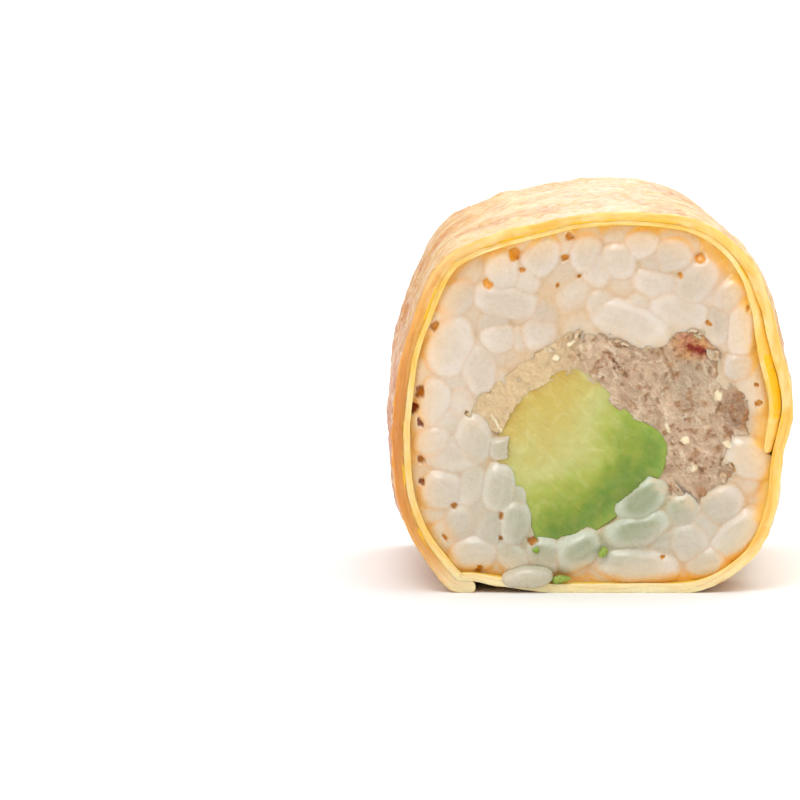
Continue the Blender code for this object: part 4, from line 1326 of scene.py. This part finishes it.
def line_distance(spots, start, end):
    """The distance of each place from a straight line between two."""
    start, along = np.array(start), np.subtract(end, start)
    share = np.clip((spots - start) @ along / (along @ along), 0, 1)
    return np.linalg.norm(spots - start - share[:, None] * along, axis=1)


def blob(spots, middle, size, power=2):
    """1 at the middle of a round spot, falling off to 0 past its size."""
    return np.exp(-((np.hypot(*(spots - middle).T) / size) ** power))


def tuna_marks(spots, seed):
    """Heights and masks of what shows only at the front: a rolled-up flake, a dark chunk, pits and bits."""
    moved, frayed = warped(spots, 0.8, 0.18, seed), warped(spots, 0.5, 0.16, seed)
    rings = np.cos(np.hypot(*(moved - RING_FLAKE).T) * 2 * math.pi / RING_SPACING)
    rolled = blob(moved, RING_FLAKE, 1.5, 4)
    chunk = blob((moved - DARK_CHUNK) * (0.75, 1.0), 0.0, 1.4, 4)
    red = np.exp(-((line_distance(frayed, *CREVICE) / 0.3) ** 2))
    pits = np.max([blob(frayed, (across, up), 0.8 * size) for across, up, size in PITS], axis=0)
    folds = np.max([np.exp(-((line_distance(frayed, *fold) / 0.14) ** 2)) for fold in FOLDS], axis=0)
    rows = np.array(WHITE_BITS)
    level, slopes = np.zeros(len(rows)), np.zeros((len(rows), 2))
    bits = Lumps(rows[:, :2], rows[:, 2:4], np.radians(rows[:, 4]), level, slopes, rows[:, 0])
    white = smooth_step(pressed(frayed, bits, -1.0, 0.5, 0.2).height, -0.9, -0.2)
    height = rolled * (0.2 + 0.14 * rings) + 0.35 * chunk - 0.7 * red
    height = height - 0.2 * pits - 0.3 * folds + 0.2 * white
    return height, {"white": white, "brown": chunk, "rolled": rolled * (0.55 + 0.45 * rings), "red": red,
                    "pits": np.maximum(0.75 * pits, 0.6 * folds), "grey": blob(moved, GREY_ZONE, 1.9)}


def tuna_look(spots, outline, outer, inner, seed, marked):
    """The height of the tuna at each place of one cut, and what its material needs to know there."""
    lumps = flake_lumps(outer, inner, seed)
    moved = warped(spots, 1.2, 0.3, seed)
    look = pressed(moved, lumps, TUNA_BED, FLAKE_DROP, FLAKE_FLAT)
    deep = in_space(spots)
    along, aside = own_place(moved, lumps, look.owner)
    pale = smooth_step(spots[:, 0], 0.5, -4.0)
    fibres = np.column_stack([along * 0.25, aside, look.owner * 5.0])
    flakes = look.height + PALE_FLAT * pale * (TUNA_TOP - look.height)
    height = flakes + 0.3 * uneven(deep, 3.0, seed=62) + (0.16 - 0.06 * pale) * uneven(deep, 1.1, seed=63)
    height += 0.06 * uneven(fibres, 0.4, seed=64, octaves=2)
    height -= 0.9 * smooth_step(-room_inside(warped(spots, 0.8, 0.5, seed + 4), outline)[0], 0.1, 0.7)
    small_pits = (1 - 0.85 * pale) * smooth_step(uneven(deep, 0.6, seed=66, octaves=2), 0.32, 0.52)
    from_outer = np.linalg.norm(spots[:, None] - outer[::3], axis=2).min(1)
    border = (1 - pale) * smooth_step(from_outer, 1.4, 0.9)
    border = border * smooth_step(uneven(deep, 1.0, seed=67), -0.2, 0.4)
    height -= 0.16 * small_pits
    rise, marks = tuna_marks(spots, seed)
    marks = {label: mask * marked for label, mask in marks.items()}
    # Pits, folds, small pits and the border by the rice, which the material paints dark as shade.
    gap = np.max([marks.pop("pits"), 0.5 * small_pits, 0.6 * border], axis=0)
    plain = 1 - marks["white"]
    return height + rise * marked, {
        **marks, "tone": lumps.tones[look.owner], "seam": look.seam * plain, "gap": gap * plain, "pale": pale,
        "grain_place": np.column_stack([along, aside, look.owner * 5.0]) * MM}


def build_tuna(outer, inner, material):
    """The flaked tuna, from cut to cut, with its flakes in relief at the cuts."""
    ring = np.concatenate([outer, inner[::-1]])
    run = np.arange(len(ring))
    overlap = np.where(run < len(outer), TUNA_OVERLAP, AVOCADO_OVERLAP)
    from_end = np.minimum(np.minimum(run, abs(run - len(outer) + 0.5)), len(ring) - 1 - run)
    wide = grown(ring, (overlap * smooth_step(from_end, 0.0, 6.0))[:, None])
    near, far = evenly(wide[: len(outer)], 320), evenly(wide[len(outer):][::-1], 320)

    def look_at(spots, facing):
        return tuna_look(spots, ring, near, far, TUNA_SEEDS[facing > 0], marked=float(facing < 0))

    return relief_piece("flaked_tuna", near, far, 64, False, look_at, material)[0]


def build_crumbs(outer, material):
    """Crumbs of tuna that the knife dragged onto the rice at both cuts."""
    draw = np.random.default_rng(CRUMB_SEED)
    shape = grain_shape("crumb", 14, 10)
    spots = evenly(outer, 200)[draw.integers(4, 190, CRUMBS)] + draw.normal(0, 0.32, (CRUMBS, 2))
    inward = HOLLOW_MIDDLE - spots
    spots += 0.3 * inward / np.linalg.norm(inward, axis=1, keepdims=True)
    facing = np.where(np.arange(CRUMBS) % 3, -1.0, 1.0)
    out = facing * (ROLL_LENGTH / 2 - draw.uniform(0.6, 0.85, CRUMBS))
    ways = np.radians(FLAKE_TURN + draw.normal(0, 50, CRUMBS))
    turns = np.array([stance((math.cos(way), 0.1, math.sin(way)), way) for way in ways])
    length = draw.uniform(0.4, 1.0, CRUMBS)
    sizes = np.stack([length, length * draw.uniform(0.35, 0.7, CRUMBS), np.full(CRUMBS, 0.4)], axis=1)
    places = np.stack([spots[:, 0], out, spots[:, 1]], axis=1)
    crumbs = scattered("tuna_crumbs", shape, material, places, turns, sizes,
                       tone=draw.uniform(0, 1, CRUMBS), pale=draw.uniform(0.0, 0.5, CRUMBS))
    points = roughened(crumbs.data, 0.2, 0.6, seed=37)
    for label in ("seam", "gap", "white", "brown", "rolled", "red", "grey"):
        keep_values(crumbs.data, label, np.zeros(len(points)))
    keep_values(crumbs.data, "grain_place", points * MM)
    return crumbs


def build_floor(material):
    work = bmesh.new()
    bmesh.ops.create_grid(work, x_segments=1, y_segments=1, size=3.0)
    mesh = bpy.data.meshes.new("floor")
    work.to_mesh(mesh)
    work.free()
    floor = new_object("floor", mesh, material)


def add_light(name, place, watts, size):
    """A soft square lamp that faces the slice."""
    light = bpy.data.lights.new(name, "AREA")
    light.energy = watts
    light.size = size
    lamp = new_object(name, light)
    lamp.location = place
    lamp.rotation_euler = (Vector(place) - Vector(LAMP_AIM)).to_track_quat("Z", "Y").to_euler()


def build_sky():
    """An even light from straight above that keeps the floor white as far as it goes."""
    sky = bpy.data.lights.new("sky", "SUN")
    sky.energy = SKY_STRENGTH
    sky.angle = math.radians(90)
    new_object("sky", sky)


def build_lights():
    world = bpy.data.worlds.new("studio")
    world.use_nodes = True
    background = world.node_tree.nodes["Background"]
    background.inputs["Color"].default_value = (1, 1, 1, 1)
    background.inputs["Strength"].default_value = STUDIO_STRENGTH
    bpy.context.scene.world = world
    for lamp in LAMPS:
        add_light(*lamp)


def build_camera():
    camera = bpy.data.cameras.new("camera")
    camera.sensor_width = SENSOR_WIDTH
    camera.lens = SENSOR_WIDTH * CAMERA_DISTANCE / FRAME_WIDTH
    camera.clip_start = 0.01
    eye = new_object("camera", camera)
    tilt = math.radians(CAMERA_ELEVATION)
    back = Vector((0, -math.cos(tilt), math.sin(tilt)))
    eye.location = Vector(CAMERA_AIM) + CAMERA_DISTANCE * back
    eye.rotation_euler = (math.radians(90) - tilt, 0, 0)
    bpy.context.scene.camera = eye


SCATTER = scatter_tree()


def main():
    bpy.context.scene.view_settings.view_transform = "Standard"
    build_camera()
    build_lights()
    build_sky()
    build_floor(floor_material())

    wall = rice_wall(WALL_SPANS)
    avocado_cut = smooth_outline(AVOCADO_CORNERS, 8)
    outer, inner = tuna_sides(avocado_cut, -0.3)
    tuna_cut = np.concatenate([outer, inner[::-1]])
    on_outer = np.arange(len(tuna_cut)) < len(outer)
    covered = RICE_ONTO_TUNA * smooth_step(tuna_cut[:, 0], 2.0, -3.0) * on_outer
    fillings = [smooth_outline(AVOCADO_CORNERS, 3), grown(tuna_cut, -covered[:, None])]
    rice, fish = rice_material(), tuna_material()
    flesh = avocado_material()
    pieces = (
        (build_egg(egg_material()), "egg_sheet", "egg"),
        (build_rice(rice, wall, fillings, avocado_cut), "rice", "rice"),
        (build_loose_grains(rice, wall, fillings, avocado_cut), "rice", "rice"),
        (build_avocado(avocado_cut, flesh), "avocado", "avocado"),
        (build_scraps(flesh), "avocado", "avocado"),
        (build_tuna(outer, inner, fish), "tuna", "tuna"),
        (build_crumbs(outer, fish), "tuna", "tuna"),
    )
    for piece, node, slot in pieces:
        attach(piece, "root")
        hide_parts(node)


main()
